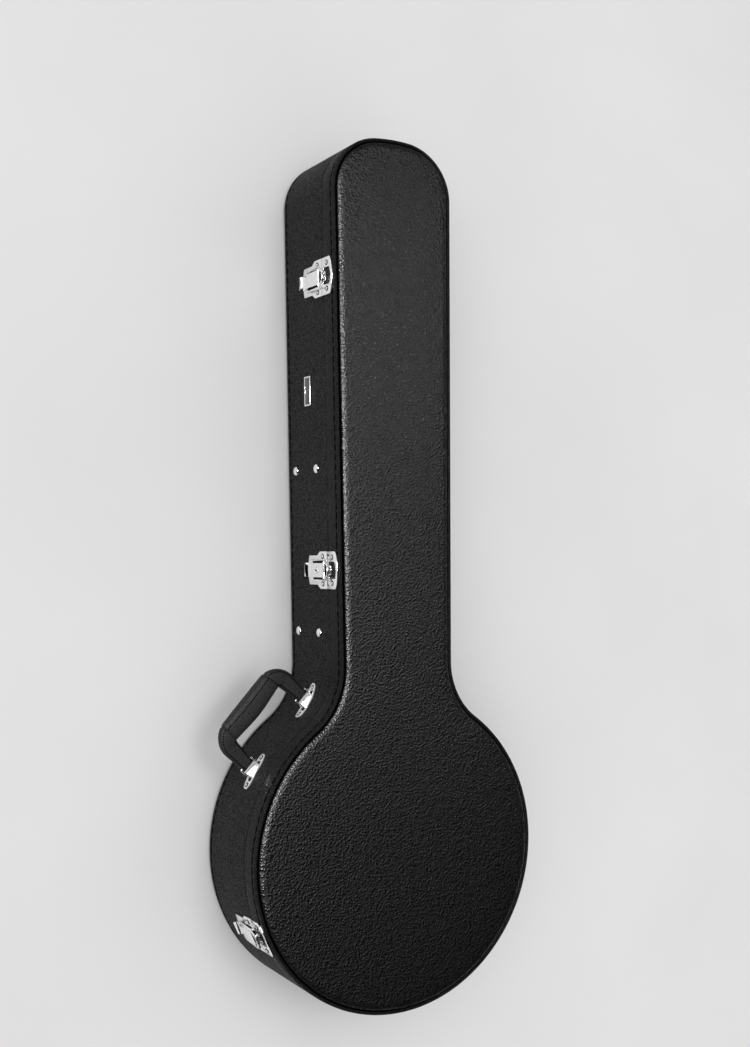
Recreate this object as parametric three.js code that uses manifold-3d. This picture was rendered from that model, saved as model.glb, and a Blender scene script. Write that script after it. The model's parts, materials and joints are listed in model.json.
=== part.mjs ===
// Hard-shell banjo case, lying on its base. Millimetres, +Z up through the lid, +Y along the neck
// towards the head, -X the latch and handle side, +X the hinge side. The origin is the centre of the
// round bowl, on the flat face that the case rests on.
import * as THREE from 'three';
import { mergeVertices } from 'three/addons/utils/BufferGeometryUtils.js';
import Module from 'manifold-3d';

// Outline of the case, seen from above
const bowlRadius = 190;
const headReach = 855;
const neckWidthAtBowl = 152;
const neckWidthAtHead = 165;
const neckFilletRadius = 86;
const headCornerRadius = 66;
const headArcRadius = 215;

// Heights of the base and the lid
const baseLipHeight = 4;
const partingHeight = 107;
const lidRimHeight = 28;
const partingGap = 0.3;

// Layers of the shells, from the outside in
const seatGap = 0.3;
const coverThickness = 1;
const plyThickness = 5;
const lipWidth = 4.6;
const padThickness = 5;
const padEdgeGap = 0.5;
const padRoundWidth = 5;
const liningThickness = 3;
const floorLiningThickness = 5;
const valanceThickness = 2;
const valanceClearance = 0.6;
const valanceRise = 8;
const valanceDrop = 17;

// Places along the neck's straight side, as shares of its length from the bowl's end
const lowerCradleShare = 0.0673;
const neckLatchShare = 0.2013;
const upperCradleShare = 0.4178;
const badgeShare = 0.5873;
const headLatchShare = 0.8197;

// Heights on the base, as shares of the parting line's height
const lowStudShare = 0.2477;
const highStudShare = 0.757;
const badgeHeightShare = 0.5888;
const handleHeightShare = 0.6729;
const compartmentShare = 0.5206;
const notchShare = 0.6168;

// Neck cradles and the accessory compartment between them
const cradleThickness = 8;
const cradleTopDrop = 3;
const cradleNotchHalfWidth = 28;
const cradleNotchCornerRadius = 12;
const compartmentLidThickness = 6;
const compartmentHingeInset = 6.5;
const compartmentRodRadius = 1.5;
const compartmentRodSeat = 3;
const ledgeWidth = 8;
const ledgeHeight = 9;
const pullWidth = 20;
const pullLength = 26;
const pullThickness = 1.2;
const pullBendShares = [0.5, 0.75];

// Chrome dome studs that hold the cradles
const studHeadRadius = 5.5;
const studHeadHeight = 3.2;
const studShankRadius = 1.6;
const domeRimShare = 0.72;
const studShankLength = 24;

// Latches
const latchPlateThickness = 1.8;
const latchHalfWidth = 22.3;
const latchNeckHalfWidth = 17.5;
const latchShoulderDrop = 18;
const latchWaistDrop = 25;
const latchCornerDrop = 45;
const latchTipDrop = 48.5;
const latchRoomLow = 38.5;
const latchRoomHigh = 5.6;
const latchEarWall = 0.9;
const latchSheet = 1.2;
const latchPivotDrop = 3.4;
const latchPivotHeight = 4.6;
const latchPinRadius = 1;
const wireRunGap = 0.35;
const leverHalfWidth = 8.4;
const leverHalfHeight = 2.2;
const leverLength = 34.6;
const leverFacetLength = 9;
const leverFacetDip = 1.6;
const leverTabHalfWidth = 8.7;
const leverTabCorner = 2.6;
const leverTabReach = 12.5;
const leverTabGap = 0.9;
const leverTabLift = 3.4;
const leverTabShares = [0.35, 0.7];
const bailWireRadius = 1.1;
const bailLaneGap = 2.8;
const bailPinDrop = 30;
const bailPinDip = 0.6;
const bailBarRise = 9;
const bailNeckHalfWidth = 6.4;
const bailBendShares = [0.8, 0.937];
const hookHeight = 5;
const hookHalfWidth = 4.8;
const hookBase = 1.5;
const hookBend = 3.6;
const hookTurn = 6;
const hookTip = 7.8;
const keeperCornerRise = 19;
const keeperTipRise = 25.4;
const keeperWindowHalfWidth = 10;
const keeperWindowLow = 4.2;
const keeperTongueHalfWidth = 5.6;
const keeperTongueTip = 9.6;
const keeperWindowShoulder = 16.5;
const keeperWindowHigh = 21.2;
const rivetRadius = 2.4;
const rivetHeight = 1;
const plateRivetDrop = 10.8;
const plateRivetReach = 16.4;
const keeperRivetRise = 12.6;
const keeperRivetReach = 15.4;

// Lock in the middle latch's lever
const lockRadius = 3.6;
const lockDrop = 15.9;
const lockProudHeight = 0.3;
const keySlotWidth = 1.3;
const keySlotLength = 4.8;
const keySlotDepth = 1.6;

// Handle and its brackets
const handleAxisOffset = 5;
const handleReach = 63.5;
const handleCornerRadius = 28;
const handleInnerRadius = 2;
const gripDepth = 25;
const gripThickness = 18;
const gripBelly = 2.5;
const gripEndThickness = 14;
const legWidth = 19;
const legFlare = 2.2;
const legEndWidth = 16.4;
const legThickness = 10;
const legEndThickness = 7;
const legEndReach = 6;
const legEndShare = 0.7;
const sectionSoftness = 0.65;
const handleSeamShare = 0.22;
const coreThickness = 1.6;
const coreWidth = 5;
const coreBendRadius = 16;
const ringWireRadius = 1.2;
const ringReach = 9;
const ringSideGap = 0.5;
const ringBendRadius = 1.6;
const bracketLength = 46;
const bracketWidth = 15;
const bracketSoftness = 0.6;
const bracketThickness = 1.4;
const bracketArchLength = 17;
const bracketArchWall = 0.9;
const bracketArchTop = 9;
const bracketArchFoot = 13;
const bracketSlotLength = 4.4;
const bracketSlotWidth = 8.8;
const bracketScrewReach = 18;
const bracketScrewRadius = 2.2;
const bracketScrewHeight = 0.9;
const runningGap = 0.3;

// Hinges
const hingeOffset = 3.6;
const hingeSpacing = 46;
const hingeWidth = 27;
const hingeBarrelRadius = 3;
const hingePinRadius = 1.5;
const hingeLeafHeight = 24;
const hingeLeafThickness = 1.4;
const hingeLeafGap = 0.5;
const hingeRivetReach = 8;
const hingeRivetDrop = 15;

// Badge plate, bare
const badgeLength = 36;
const badgeWidth = 15.5;
const badgeThickness = 1.8;
const badgeRim = 1.8;
const badgeInlayDepth = 0.9;

// Overrun of every cutting tool, and the distance under which two vertices are one
const cutOverrun = 8;
const mergeDistance = 0.0001;

// Angles, in degrees
const bowlLatchAngle = -155.4;
const lowerBracketAngle = 147.4;
const upperBracketTurn = 31.6;

// Counts of segments
const bowlSteps = 20;
const filletSteps = 6;
const cornerSteps = 10;
const wireSides = 8;
const roundSides = 12;
const gripSides = 12;
const gripStations = 9;
const bendSteps = 4;

const wasm = await Module();
wasm.setup();

// Materials
function paint(color, roughness, metalness = 0) {
  return new THREE.MeshStandardMaterial({ color, roughness, metalness });
}
const blackVinyl = paint(0x1c1c1b, 0.6);
const sideVinyl = paint(0x2d2f2e, 0.65);
const plywood = paint(0xb08a5a, 0.75);
const plush = paint(0x4a1f2a, 0.95);
const ribbon = paint(0x171717, 0.8);
const chrome = paint(0xd8d8da, 0.12, 1);
const steel = paint(0x8f9194, 0.35, 1);
const darkEnamel = paint(0x3a3c3f, 0.4);
const leather = paint(0x242321, 0.7);

const caseGroup = new THREE.Group();
caseGroup.name = 'banjo_case';

// Triangles between solids and geometries
function toSolid(geometry) {
  const bare = geometry.index ? geometry.toNonIndexed() : geometry.clone();
  for (const name of Object.keys(bare.attributes)) {
    if (name !== 'position') bare.deleteAttribute(name);
  }
  const merged = mergeVertices(bare, mergeDistance);
  return new wasm.Manifold(new wasm.Mesh({
    numProp: 3,
    vertProperties: merged.attributes.position.array,
    triVerts: new Uint32Array(merged.index.array),
  }));
}

function toGeometry(solid) {
  const { vertProperties, triVerts, numProp } = solid.getMesh();
  const positions = new Float32Array((vertProperties.length / numProp) * 3);
  for (let i = 0; i < positions.length; i += 1) {
    positions[i] = vertProperties[Math.floor(i / 3) * numProp + (i % 3)];
  }
  const geometry = new THREE.BufferGeometry();
  geometry.setAttribute('position', new THREE.BufferAttribute(positions, 3));
  geometry.setIndex(new THREE.BufferAttribute(new Uint32Array(triVerts), 1));
  geometry.computeVertexNormals();
  return geometry;
}

function join(...geometries) {
  return toGeometry(geometries.map(toSolid).reduce((sum, solid) => sum.add(solid)));
}

function cut(body, ...tools) {
  return toGeometry(tools.map(toSolid).reduce((left, tool) => left.subtract(tool), toSolid(body)));
}

function common(body, other) {
  return toGeometry(toSolid(body).intersect(toSolid(other)));
}

function addMesh(parent, name, geometry, material) {
  const mesh = new THREE.Mesh(geometry, material);
  mesh.name = name;
  parent.add(mesh);
  return mesh;
}

function addGroup(parent, x, y, z, turn = 0) {
  const group = new THREE.Group();
  group.position.set(x, y, z);
  group.rotation.z = turn;
  parent.add(group);
  group.updateWorldMatrix(true, false);
  return group;
}

// A geometry in the case's own frame, seen from inside a placed group, and the way back
function seenFrom(group, geometry) {
  return geometry.clone().applyMatrix4(group.matrixWorld.clone().invert());
}

function broughtOut(group, geometry) {
  return geometry.clone().applyMatrix4(group.matrixWorld);
}

// Lofts a skin over rings of points; its faces are turned out if the rings run the other way
function loft(rings, closed = false) {
  const sides = rings[0].length;
  const positions = rings.flat().flatMap((point) => [point.x, point.y, point.z]);
  const faces = [];
  const last = closed ? rings.length : rings.length - 1;
  for (let i = 0; i < last; i += 1) {
    const near = i * sides;
    const far = ((i + 1) % rings.length) * sides;
    for (let k = 0; k < sides; k += 1) {
      const next = (k + 1) % sides;
      faces.push([near + k, near + next, far + next], [near + k, far + next, far + k]);
    }
  }
  if (!closed) {
    const end = (rings.length - 1) * sides;
    for (let k = 1; k < sides - 1; k += 1) {
      faces.push([0, k + 1, k], [end, end + k, end + k + 1]);
    }
  }
  return outward(positions, faces);
}

function outward(positions, faces) {
  const corner = (i) => new THREE.Vector3().fromArray(positions, i * 3);
  const volume = faces.reduce((sum, [a, b, c]) => (
    sum + corner(a).dot(corner(b).cross(corner(c)))), 0);
  const index = volume < 0 ? faces.flatMap(([a, b, c]) => [a, c, b]) : faces.flat();
  const geometry = new THREE.BufferGeometry();
  geometry.setAttribute('position', new THREE.BufferAttribute(new Float32Array(positions), 3));
  geometry.setIndex(index);
  return geometry;
}

// A round wire along a path that lies in the plane square to `binormal`
function wire(path, binormal, radius, sides, closed = false) {
  const count = path.length;
  const rings = path.map((point, i) => {
    const previous = closed || i > 0 ? path[(i - 1 + count) % count] : null;
    const following = closed || i < count - 1 ? path[(i + 1) % count] : null;
    const before = previous ? point.clone().sub(previous).normalize() : null;
    const after = following ? following.clone().sub(point).normalize() : before;
    const tangent = (before ?? after).clone().add(after).normalize();
    const across = binormal.clone().cross(tangent).multiplyScalar(radius / tangent.dot(after));
    return ringOfPoints(sides, (cosine, sine) => (
      point.clone().addScaledVector(across, cosine).addScaledVector(binormal, radius * sine)));
  });
  return loft(rings, closed);
}

function ringOfPoints(sides, place) {
  return Array.from({ length: sides }, (_, k) => {
    const angle = (2 * Math.PI * (k + 0.5)) / sides;
    return place(Math.cos(angle), Math.sin(angle));
  });
}

// Points on an arc, with both of its ends
function arc(cx, cy, radius, from, to, steps) {
  return Array.from({ length: steps + 1 }, (_, i) => {
    const angle = from + ((to - from) * i) / steps;
    return [cx + radius * Math.cos(angle), cy + radius * Math.sin(angle)];
  });
}

// Outlines extruded along one axis of the frame that they are in
function extrude(points, low, high, xAxis, yAxis, zAxis) {
  const shape = new THREE.Shape(points.map(([u, v]) => new THREE.Vector2(u, v)));
  const geometry = new THREE.ExtrudeGeometry(shape, { depth: high - low, bevelEnabled: false });
  geometry.translate(0, 0, low);
  return geometry.applyMatrix4(new THREE.Matrix4().makeBasis(xAxis, yAxis, zAxis));
}
const unitX = new THREE.Vector3(1, 0, 0);
const unitY = new THREE.Vector3(0, 1, 0);
const unitZ = new THREE.Vector3(0, 0, 1);
const extrudeX = (yz, low, high) => extrude(yz, low, high, unitY, unitZ, unitX);
const extrudeY = (xz, low, high) => (
  extrude(xz.map(([x, z]) => [z, x]), low, high, unitZ, unitX, unitY));

function block(x0, x1, y0, y1, z0, z1) {
  const geometry = new THREE.BoxGeometry(x1 - x0, y1 - y0, z1 - z0);
  return geometry.translate((x0 + x1) / 2, (y0 + y1) / 2, (z0 + z1) / 2);
}

function rodAlongY(radius, y0, y1, x, z, sides = roundSides) {
  return new THREE.CylinderGeometry(radius, radius, y1 - y0, sides).translate(x, (y0 + y1) / 2, z);
}

function rodAlongX(radius, x0, x1, y, z, sides = roundSides) {
  const geometry = new THREE.CylinderGeometry(radius, radius, x1 - x0, sides);
  return geometry.rotateZ(Math.PI / 2).translate((x0 + x1) / 2, y, z);
}

// A low dome that faces +X, its flat side at x
function dome(radius, height, x, y, z, sides = wireSides) {
  const profile = [
    [0, -latchSheet / 2], [radius, -latchSheet / 2], [radius, 0],
    [radius * domeRimShare, height * domeRimShare], [0, height],
  ];
  const geometry = new THREE.LatheGeometry(profile.map(([r, h]) => new THREE.Vector2(r, h)), sides);
  return geometry.rotateZ(-Math.PI / 2).translate(x, y, z);
}

// A strip of sheet metal of even thickness along a path, as an outline
function strip(path, thickness) {
  const side = (sign) => path.map(([x, z], i) => {
    const before = path[Math.max(i - 1, 0)];
    const after = path[Math.min(i + 1, path.length - 1)];
    const first = new THREE.Vector2(x - before[0], z - before[1]);
    const second = new THREE.Vector2(after[0] - x, after[1] - z);
    const start = i === 0 ? second.clone().normalize() : first.normalize();
    const end = i === path.length - 1 ? start.clone() : second.normalize();
    const along = start.clone().add(end).normalize();
    const reach = (sign * thickness) / 2 / along.dot(start);
    return [x - along.y * reach, z + along.x * reach];
  });
  return [...side(1), ...side(-1).reverse()];
}

// Outline of the case: circles and lines that touch, worked out on the right side and mirrored.
// An inset moves every curve inwards by the same amount and keeps the centres.
const sideSlope = Math.atan2((neckWidthAtHead - neckWidthAtBowl) / 2, headReach - bowlRadius);
const sideNormal = new THREE.Vector2(Math.cos(sideSlope), -Math.sin(sideSlope));
const sideAlong = new THREE.Vector2(Math.sin(sideSlope), Math.cos(sideSlope));
const sideDistance = sideNormal.dot(new THREE.Vector2(neckWidthAtBowl / 2, bowlRadius));
const filletDistance = sideDistance + neckFilletRadius;
const filletCentre = sideNormal.clone().multiplyScalar(filletDistance).addScaledVector(
  sideAlong, Math.sqrt((bowlRadius + neckFilletRadius) ** 2 - filletDistance ** 2));
const headArcCentre = new THREE.Vector2(0, headReach - headArcRadius);
const cornerCentre = (() => {
  const start = sideNormal.clone().multiplyScalar(sideDistance - headCornerRadius).sub(headArcCentre);
  const along = start.dot(sideAlong);
  const reach = headArcRadius - headCornerRadius;
  const step = -along + Math.sqrt(along ** 2 - start.lengthSq() + reach ** 2);
  return start.addScaledVector(sideAlong, step).add(headArcCentre);
})();
const bowlTopAngle = Math.atan2(filletCentre.y, filletCentre.x);
const cornerTopAngle = Math.atan2(cornerCentre.y - headArcCentre.y, cornerCentre.x);
const neckLow = filletCentre.y - neckFilletRadius * sideNormal.y;
const neckHigh = cornerCentre.y + headCornerRadius * sideNormal.y;
const alongNeck = (share) => neckLow + share * (neckHigh - neckLow);
const lowerCradleY = alongNeck(lowerCradleShare);
const upperCradleY = alongNeck(upperCradleShare);
const padInset = lipWidth + padEdgeGap;

function outline(inset) {
  const right = [
    ...arc(0, 0, bowlRadius - inset, -Math.PI / 2, bowlTopAngle, bowlSteps),
    ...arc(filletCentre.x, filletCentre.y, neckFilletRadius + inset,
      bowlTopAngle + Math.PI, Math.PI - sideSlope, filletSteps).slice(1),
    ...arc(cornerCentre.x, cornerCentre.y, headCornerRadius - inset,
      -sideSlope, cornerTopAngle, cornerSteps),
    [0, headReach - inset],
  ];
  const left = right.slice(1, -1).reverse().map(([x, y]) => [-x, y]);
  return [...right, ...left];
}

// A wall that follows the outline; its profile is a closed list of [inset, z]
function rim(profile) {
  const rows = profile.map(([inset, z]) => outline(inset).map(([x, y]) => new THREE.Vector3(x, y, z)));
  return loft(rows, true);
}

// A slab that fills the outline; its profile is a list of [inset, z] from the bottom up
function slab(profile) {
  const rows = profile.map(([inset, z]) => outline(inset).map(([x, y]) => [x, y, z]));
  const sides = rows[0].length;
  const faces = [];
  for (let i = 0; i < rows.length - 1; i += 1) {
    for (let k = 0; k < sides; k += 1) {
      const next = (k + 1) % sides;
      faces.push([i * sides + k, i * sides + next, (i + 1) * sides + next]);
      faces.push([i * sides + k, (i + 1) * sides + next, (i + 1) * sides + k]);
    }
  }
  const capOf = (row, start, flip) => {
    const contour = row.map(([x, y]) => new THREE.Vector2(x, y));
    for (const [a, b, c] of THREE.ShapeUtils.triangulateShape(contour, [])) {
      faces.push(flip ? [start + a, start + c, start + b] : [start + a, start + b, start + c]);
    }
  };
  capOf(rows[0], 0, true);
  capOf(rows[rows.length - 1], (rows.length - 1) * sides, false);
  return outward(rows.flat(2), faces);
}

// Heights and insets that follow from the layers
const lidLipHeight = partingHeight + lidRimHeight;
const caseHeight = lidLipHeight + baseLipHeight;
const baseTop = partingHeight - partingGap / 2;
const lidBottom = partingHeight + partingGap / 2;
const plyInset = coverThickness + seatGap;
const plyInnerInset = plyInset + plyThickness;
const panelInset = plyInnerInset + seatGap;
const valanceInset = plyInnerInset + valanceClearance;
const valanceInnerInset = valanceInset + valanceThickness;
const wallLiningInset = valanceInnerInset + seatGap;
const roomInset = wallLiningInset + liningThickness;
const plyFootHeight = baseLipHeight + coverThickness + seatGap;
const floorPanelTop = plyFootHeight + plyThickness;
const floorLiningBottom = floorPanelTop + seatGap;
const floorTop = floorLiningBottom + floorLiningThickness;
const valanceBottom = partingHeight - valanceDrop;
const valanceTop = partingHeight + valanceRise;
const plyHeadHeight = caseHeight - plyFootHeight;
const lidPanelBottom = plyHeadHeight - plyThickness;
const lidLiningTop = lidPanelBottom - seatGap;
const lidLiningBottom = lidLiningTop - floorLiningThickness;

// Profile of a vinyl band that is folded over a ply wall, from its lip to the parting line
function coverProfile(lip, parting) {
  const side = Math.sign(parting - lip);
  const foldIn = lip + side * coverThickness;
  const foldOut = parting - side * coverThickness;
  return [
    [0, lip], [0, parting], [plyInnerInset, parting], [plyInnerInset, foldOut],
    [coverThickness, foldOut], [coverThickness, foldIn], [lipWidth, foldIn], [lipWidth, lip],
  ];
}

function plyProfile(low, high) {
  return [[plyInset, low], [plyInset, high], [plyInnerInset, high], [plyInnerInset, low]];
}

// Profile of a face pad with a rounded edge, from its flat face to its back
function padProfile(face, back) {
  const side = Math.sign(back - face);
  const rows = arc(0, 0, 1, -Math.PI / 2, 0, bendSteps).map(([across, up]) => [
    padInset + padRoundWidth * (1 - across), face + side * baseLipHeight * (1 + up)]);
  return [...rows, [padInset, back]];
}

// Base shell
const wallBlock = slab([[-seatGap, -cutOverrun], [-seatGap, caseHeight + cutOverrun]]);
const studHeights = [lowStudShare * partingHeight, highStudShare * partingHeight];
const studPlaces = [lowerCradleY, upperCradleY].flatMap((y) => [-1, 1].flatMap((side) => (
  studHeights.map((z) => ({ y, side, z })))));

function sideLineX(y) {
  return (sideDistance - sideNormal.y * y) / sideNormal.x;
}

function studGroup({ y, side, z }) {
  const x = side * sideLineX(y);
  return addGroup(caseGroup, x, y, z, side > 0 ? -sideSlope : Math.PI + sideSlope);
}
const studGroups = studPlaces.map(studGroup);
const studHoles = studGroups.map((group) => broughtOut(group, rodAlongX(
  studShankRadius + runningGap, -studShankLength - cutOverrun / 4, cutOverrun, 0, 0, wireSides)));

addMesh(caseGroup, 'base_bottom_pad', slab(padProfile(0, padThickness)), blackVinyl);
addMesh(caseGroup, 'base_wall_cover',
  cut(rim(coverProfile(baseLipHeight, baseTop)), ...studHoles), sideVinyl);
addMesh(caseGroup, 'base_wall', cut(rim(plyProfile(plyFootHeight,
  baseTop - coverThickness - seatGap)), ...studHoles), plywood);
addMesh(caseGroup, 'base_panel',
  slab([[panelInset, plyFootHeight], [panelInset, floorPanelTop]]), plywood);
addMesh(caseGroup, 'base_floor_lining',
  slab([[panelInset, floorLiningBottom], [panelInset, floorTop]]), plush);
addMesh(caseGroup, 'base_valance', rim([[valanceInset, valanceBottom], [valanceInset, valanceTop],
  [valanceInnerInset, valanceTop], [valanceInnerInset, valanceBottom]]), plywood);
const wallLiningShoulder = valanceBottom - seatGap;
addMesh(caseGroup, 'base_wall_lining', cut(rim([
  [panelInset, floorTop + seatGap], [panelInset, wallLiningShoulder],
  [wallLiningInset, wallLiningShoulder], [wallLiningInset, valanceTop],
  [roomInset, valanceTop], [roomInset, floorTop + seatGap],
]), ...studHoles), plush);

// Lid shell
addMesh(caseGroup, 'lid_top_pad', slab(padProfile(caseHeight, caseHeight - padThickness)), blackVinyl);
addMesh(caseGroup, 'lid_wall_cover', rim(coverProfile(lidLipHeight, lidBottom)), sideVinyl);
addMesh(caseGroup, 'lid_wall',
  rim(plyProfile(lidBottom + coverThickness + seatGap, plyHeadHeight)), plywood);
addMesh(caseGroup, 'lid_panel',
  slab([[panelInset, lidPanelBottom], [panelInset, plyHeadHeight]]), plywood);
addMesh(caseGroup, 'lid_top_lining',
  slab([[panelInset, lidLiningBottom], [panelInset, lidLiningTop]]), plush);
const lidWallLiningLow = valanceTop + valanceClearance;
const lidWallLiningHigh = lidLiningBottom - seatGap;
addMesh(caseGroup, 'lid_wall_lining', rim([
  [panelInset, lidWallLiningLow], [panelInset, lidWallLiningHigh],
  [panelInset + liningThickness, lidWallLiningHigh], [panelInset + liningThickness, lidWallLiningLow],
]), plush);

// Neck cradles, with a rounded notch for the neck
const room = slab([[roomInset + seatGap, floorTop + seatGap],
  [roomInset + seatGap, partingHeight - cradleTopDrop]]);
const hingeRodX = sideLineX(lowerCradleY) - roomInset - compartmentHingeInset;
const compartmentLidHeight = compartmentShare * partingHeight;
const cradleNotchHeight = notchShare * partingHeight;
const hingeRodZ = compartmentLidHeight + compartmentLidThickness / 2;
const rodHole = rodAlongY(compartmentRodRadius + runningGap, lowerCradleY - cradleThickness,
  upperCradleY + cradleThickness, hingeRodX, hingeRodZ, wireSides);

function addCradle(name, y) {
  const board = common(room, block(-bowlRadius, bowlRadius,
    y - cradleThickness / 2, y + cradleThickness / 2, 0, caseHeight));
  const corner = cradleNotchHeight + cradleNotchCornerRadius;
  const flat = cradleNotchHalfWidth - cradleNotchCornerRadius;
  const notch = extrudeY([
    ...arc(-flat, corner, cradleNotchCornerRadius, Math.PI, 1.5 * Math.PI, bendSteps),
    ...arc(flat, corner, cradleNotchCornerRadius, 1.5 * Math.PI, 2 * Math.PI, bendSteps),
    [cradleNotchHalfWidth, caseHeight], [-cradleNotchHalfWidth, caseHeight],
  ], y - cradleThickness, y + cradleThickness);
  addMesh(caseGroup, name, cut(board, notch, rodHole, ...studHoles), plush);
}
addCradle('neck_cradle_lower', lowerCradleY);
addCradle('neck_cradle_upper', upperCradleY);

// Accessory compartment: a ledge, a lid on a rod between the cradles, and a ribbon pull
const compartmentLow = lowerCradleY + cradleThickness / 2 + seatGap;
const compartmentHigh = upperCradleY - cradleThickness / 2 - seatGap;
const lidEdgeX = -sideLineX(compartmentLow) + roomInset + 2 * seatGap;
const ledgeTop = compartmentLidHeight - seatGap;
addMesh(caseGroup, 'compartment_ledge', common(room, block(-bowlRadius, lidEdgeX + ledgeWidth,
  compartmentLow, compartmentHigh, ledgeTop - ledgeHeight, ledgeTop)), plywood);
const lidEndArc = arc(hingeRodX, hingeRodZ, compartmentLidThickness / 2,
  -Math.PI / 2, Math.PI / 2, 2 * bendSteps);
const lidEdge = [[lidEdgeX, compartmentLidHeight + compartmentLidThickness],
  [lidEdgeX, compartmentLidHeight]];
addMesh(caseGroup, 'compartment_lid', cut(
  extrudeY([...lidEndArc, ...lidEdge], compartmentLow, compartmentHigh), rodHole), plush);
addMesh(caseGroup, 'compartment_hinge_rod', rodAlongY(compartmentRodRadius,
  lowerCradleY - compartmentRodSeat, upperCradleY + compartmentRodSeat,
  hingeRodX, hingeRodZ, wireSides), steel);
const pullY = (compartmentLow + compartmentHigh) / 2;
const pullZ = compartmentLidHeight + compartmentLidThickness + seatGap + pullThickness / 2;
addMesh(caseGroup, 'compartment_pull', extrudeY(strip([
  [lidEdgeX, pullZ], [lidEdgeX + pullLength * pullBendShares[0], pullZ],
  [lidEdgeX + pullLength * pullBendShares[1], pullZ + 2 * pullThickness],
  [lidEdgeX + pullLength, pullZ],
], pullThickness), pullY - pullWidth / 2, pullY + pullWidth / 2), ribbon);

// Dome studs; each shank runs through the wall into the end of a cradle board
studGroups.forEach((group, i) => {
  const profile = [
    [0, -studShankLength], [studShankRadius, -studShankLength], [studShankRadius, seatGap],
    [studHeadRadius, seatGap], [studHeadRadius * domeRimShare, studHeadHeight * domeRimShare],
    [0, studHeadHeight],
  ].map(([r, h]) => new THREE.Vector2(r, h));
  const stud = new THREE.LatheGeometry(profile, wireSides).rotateZ(-Math.PI / 2);
  addMesh(group, `cradle_stud_${i + 1}`, stud, chrome);
});

// Sheet that lies on the wall all round, for plates that are cut from it
function wallSheet(thickness, low, high) {
  const outer = -seatGap - thickness;
  return rim([[outer, low], [outer, high], [-seatGap, high], [-seatGap, low]]);
}

// How far a curved wall stands out from its tangent plane, at a distance along it
function wallRise(curvature, y) {
  return (-curvature * y ** 2) / 2;
}

function wallPlate(group, thickness, outlinePoints) {
  const sheet = seenFrom(group, wallSheet(thickness, -cutOverrun, caseHeight + cutOverrun));
  return common(extrudeX(outlinePoints, -cutOverrun, cutOverrun), sheet);
}

// Latches. In a latch's own frame X points out of the wall, Y runs along it, and z is 0 at the
// parting line.
const plateFace = seatGap + latchPlateThickness;
const bailLane = leverHalfWidth + bailLaneGap + bailWireRadius;
const latchEars = [leverHalfWidth + seatGap, leverHalfWidth + seatGap + latchSheet];
const pivotZ = -latchPivotDrop;
const bailPinZ = pivotZ - bailPinDrop;
const bailPinX = latchPivotHeight - bailPinDip;
const leverEndZ = pivotZ - leverLength;
const earRound = latchPinRadius + latchEarWall;

function addPlate(name, group, curvature) {
  const top = -seatGap;
  const bowed = arc(0, 0, 1, Math.PI, 2 * Math.PI, 2 * bendSteps).map(([y, z]) => [
    y * latchNeckHalfWidth, -latchCornerDrop + z * (latchTipDrop - latchCornerDrop)]);
  const plate = wallPlate(group, latchPlateThickness, [
    [latchHalfWidth, top], [-latchHalfWidth, top], [-latchHalfWidth, -latchShoulderDrop],
    [-latchNeckHalfWidth, -latchWaistDrop], ...bowed,
    [latchNeckHalfWidth, -latchWaistDrop], [latchHalfWidth, -latchShoulderDrop],
  ]);
  const ear = [...arc(latchPivotHeight, pivotZ, earRound, -Math.PI / 2, Math.PI / 2, bendSteps),
    [-cutOverrun, pivotZ + earRound], [-cutOverrun, pivotZ - earRound]];
  const stands = [-1, 1].flatMap((side) => {
    const ends = latchEars.map((y) => side * y).sort((a, b) => a - b);
    return [extrudeY(ear, ...ends), dome(rivetRadius, rivetHeight,
      plateFace + wallRise(curvature, plateRivetReach), side * plateRivetReach, -plateRivetDrop)];
  });
  const roomHalf = leverHalfWidth + bailLaneGap;
  const shape = cut(join(cut(plate, block(-cutOverrun, cutOverrun, -roomHalf, roomHalf,
    -latchRoomLow, -latchRoomHigh)), ...stands), seenFrom(group, wallBlock),
  rodAlongY(latchPinRadius + wireRunGap / 2, -latchHalfWidth, latchHalfWidth,
    latchPivotHeight, pivotZ));
  addMesh(group, `${name}_plate`, shape, chrome);
}

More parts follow.
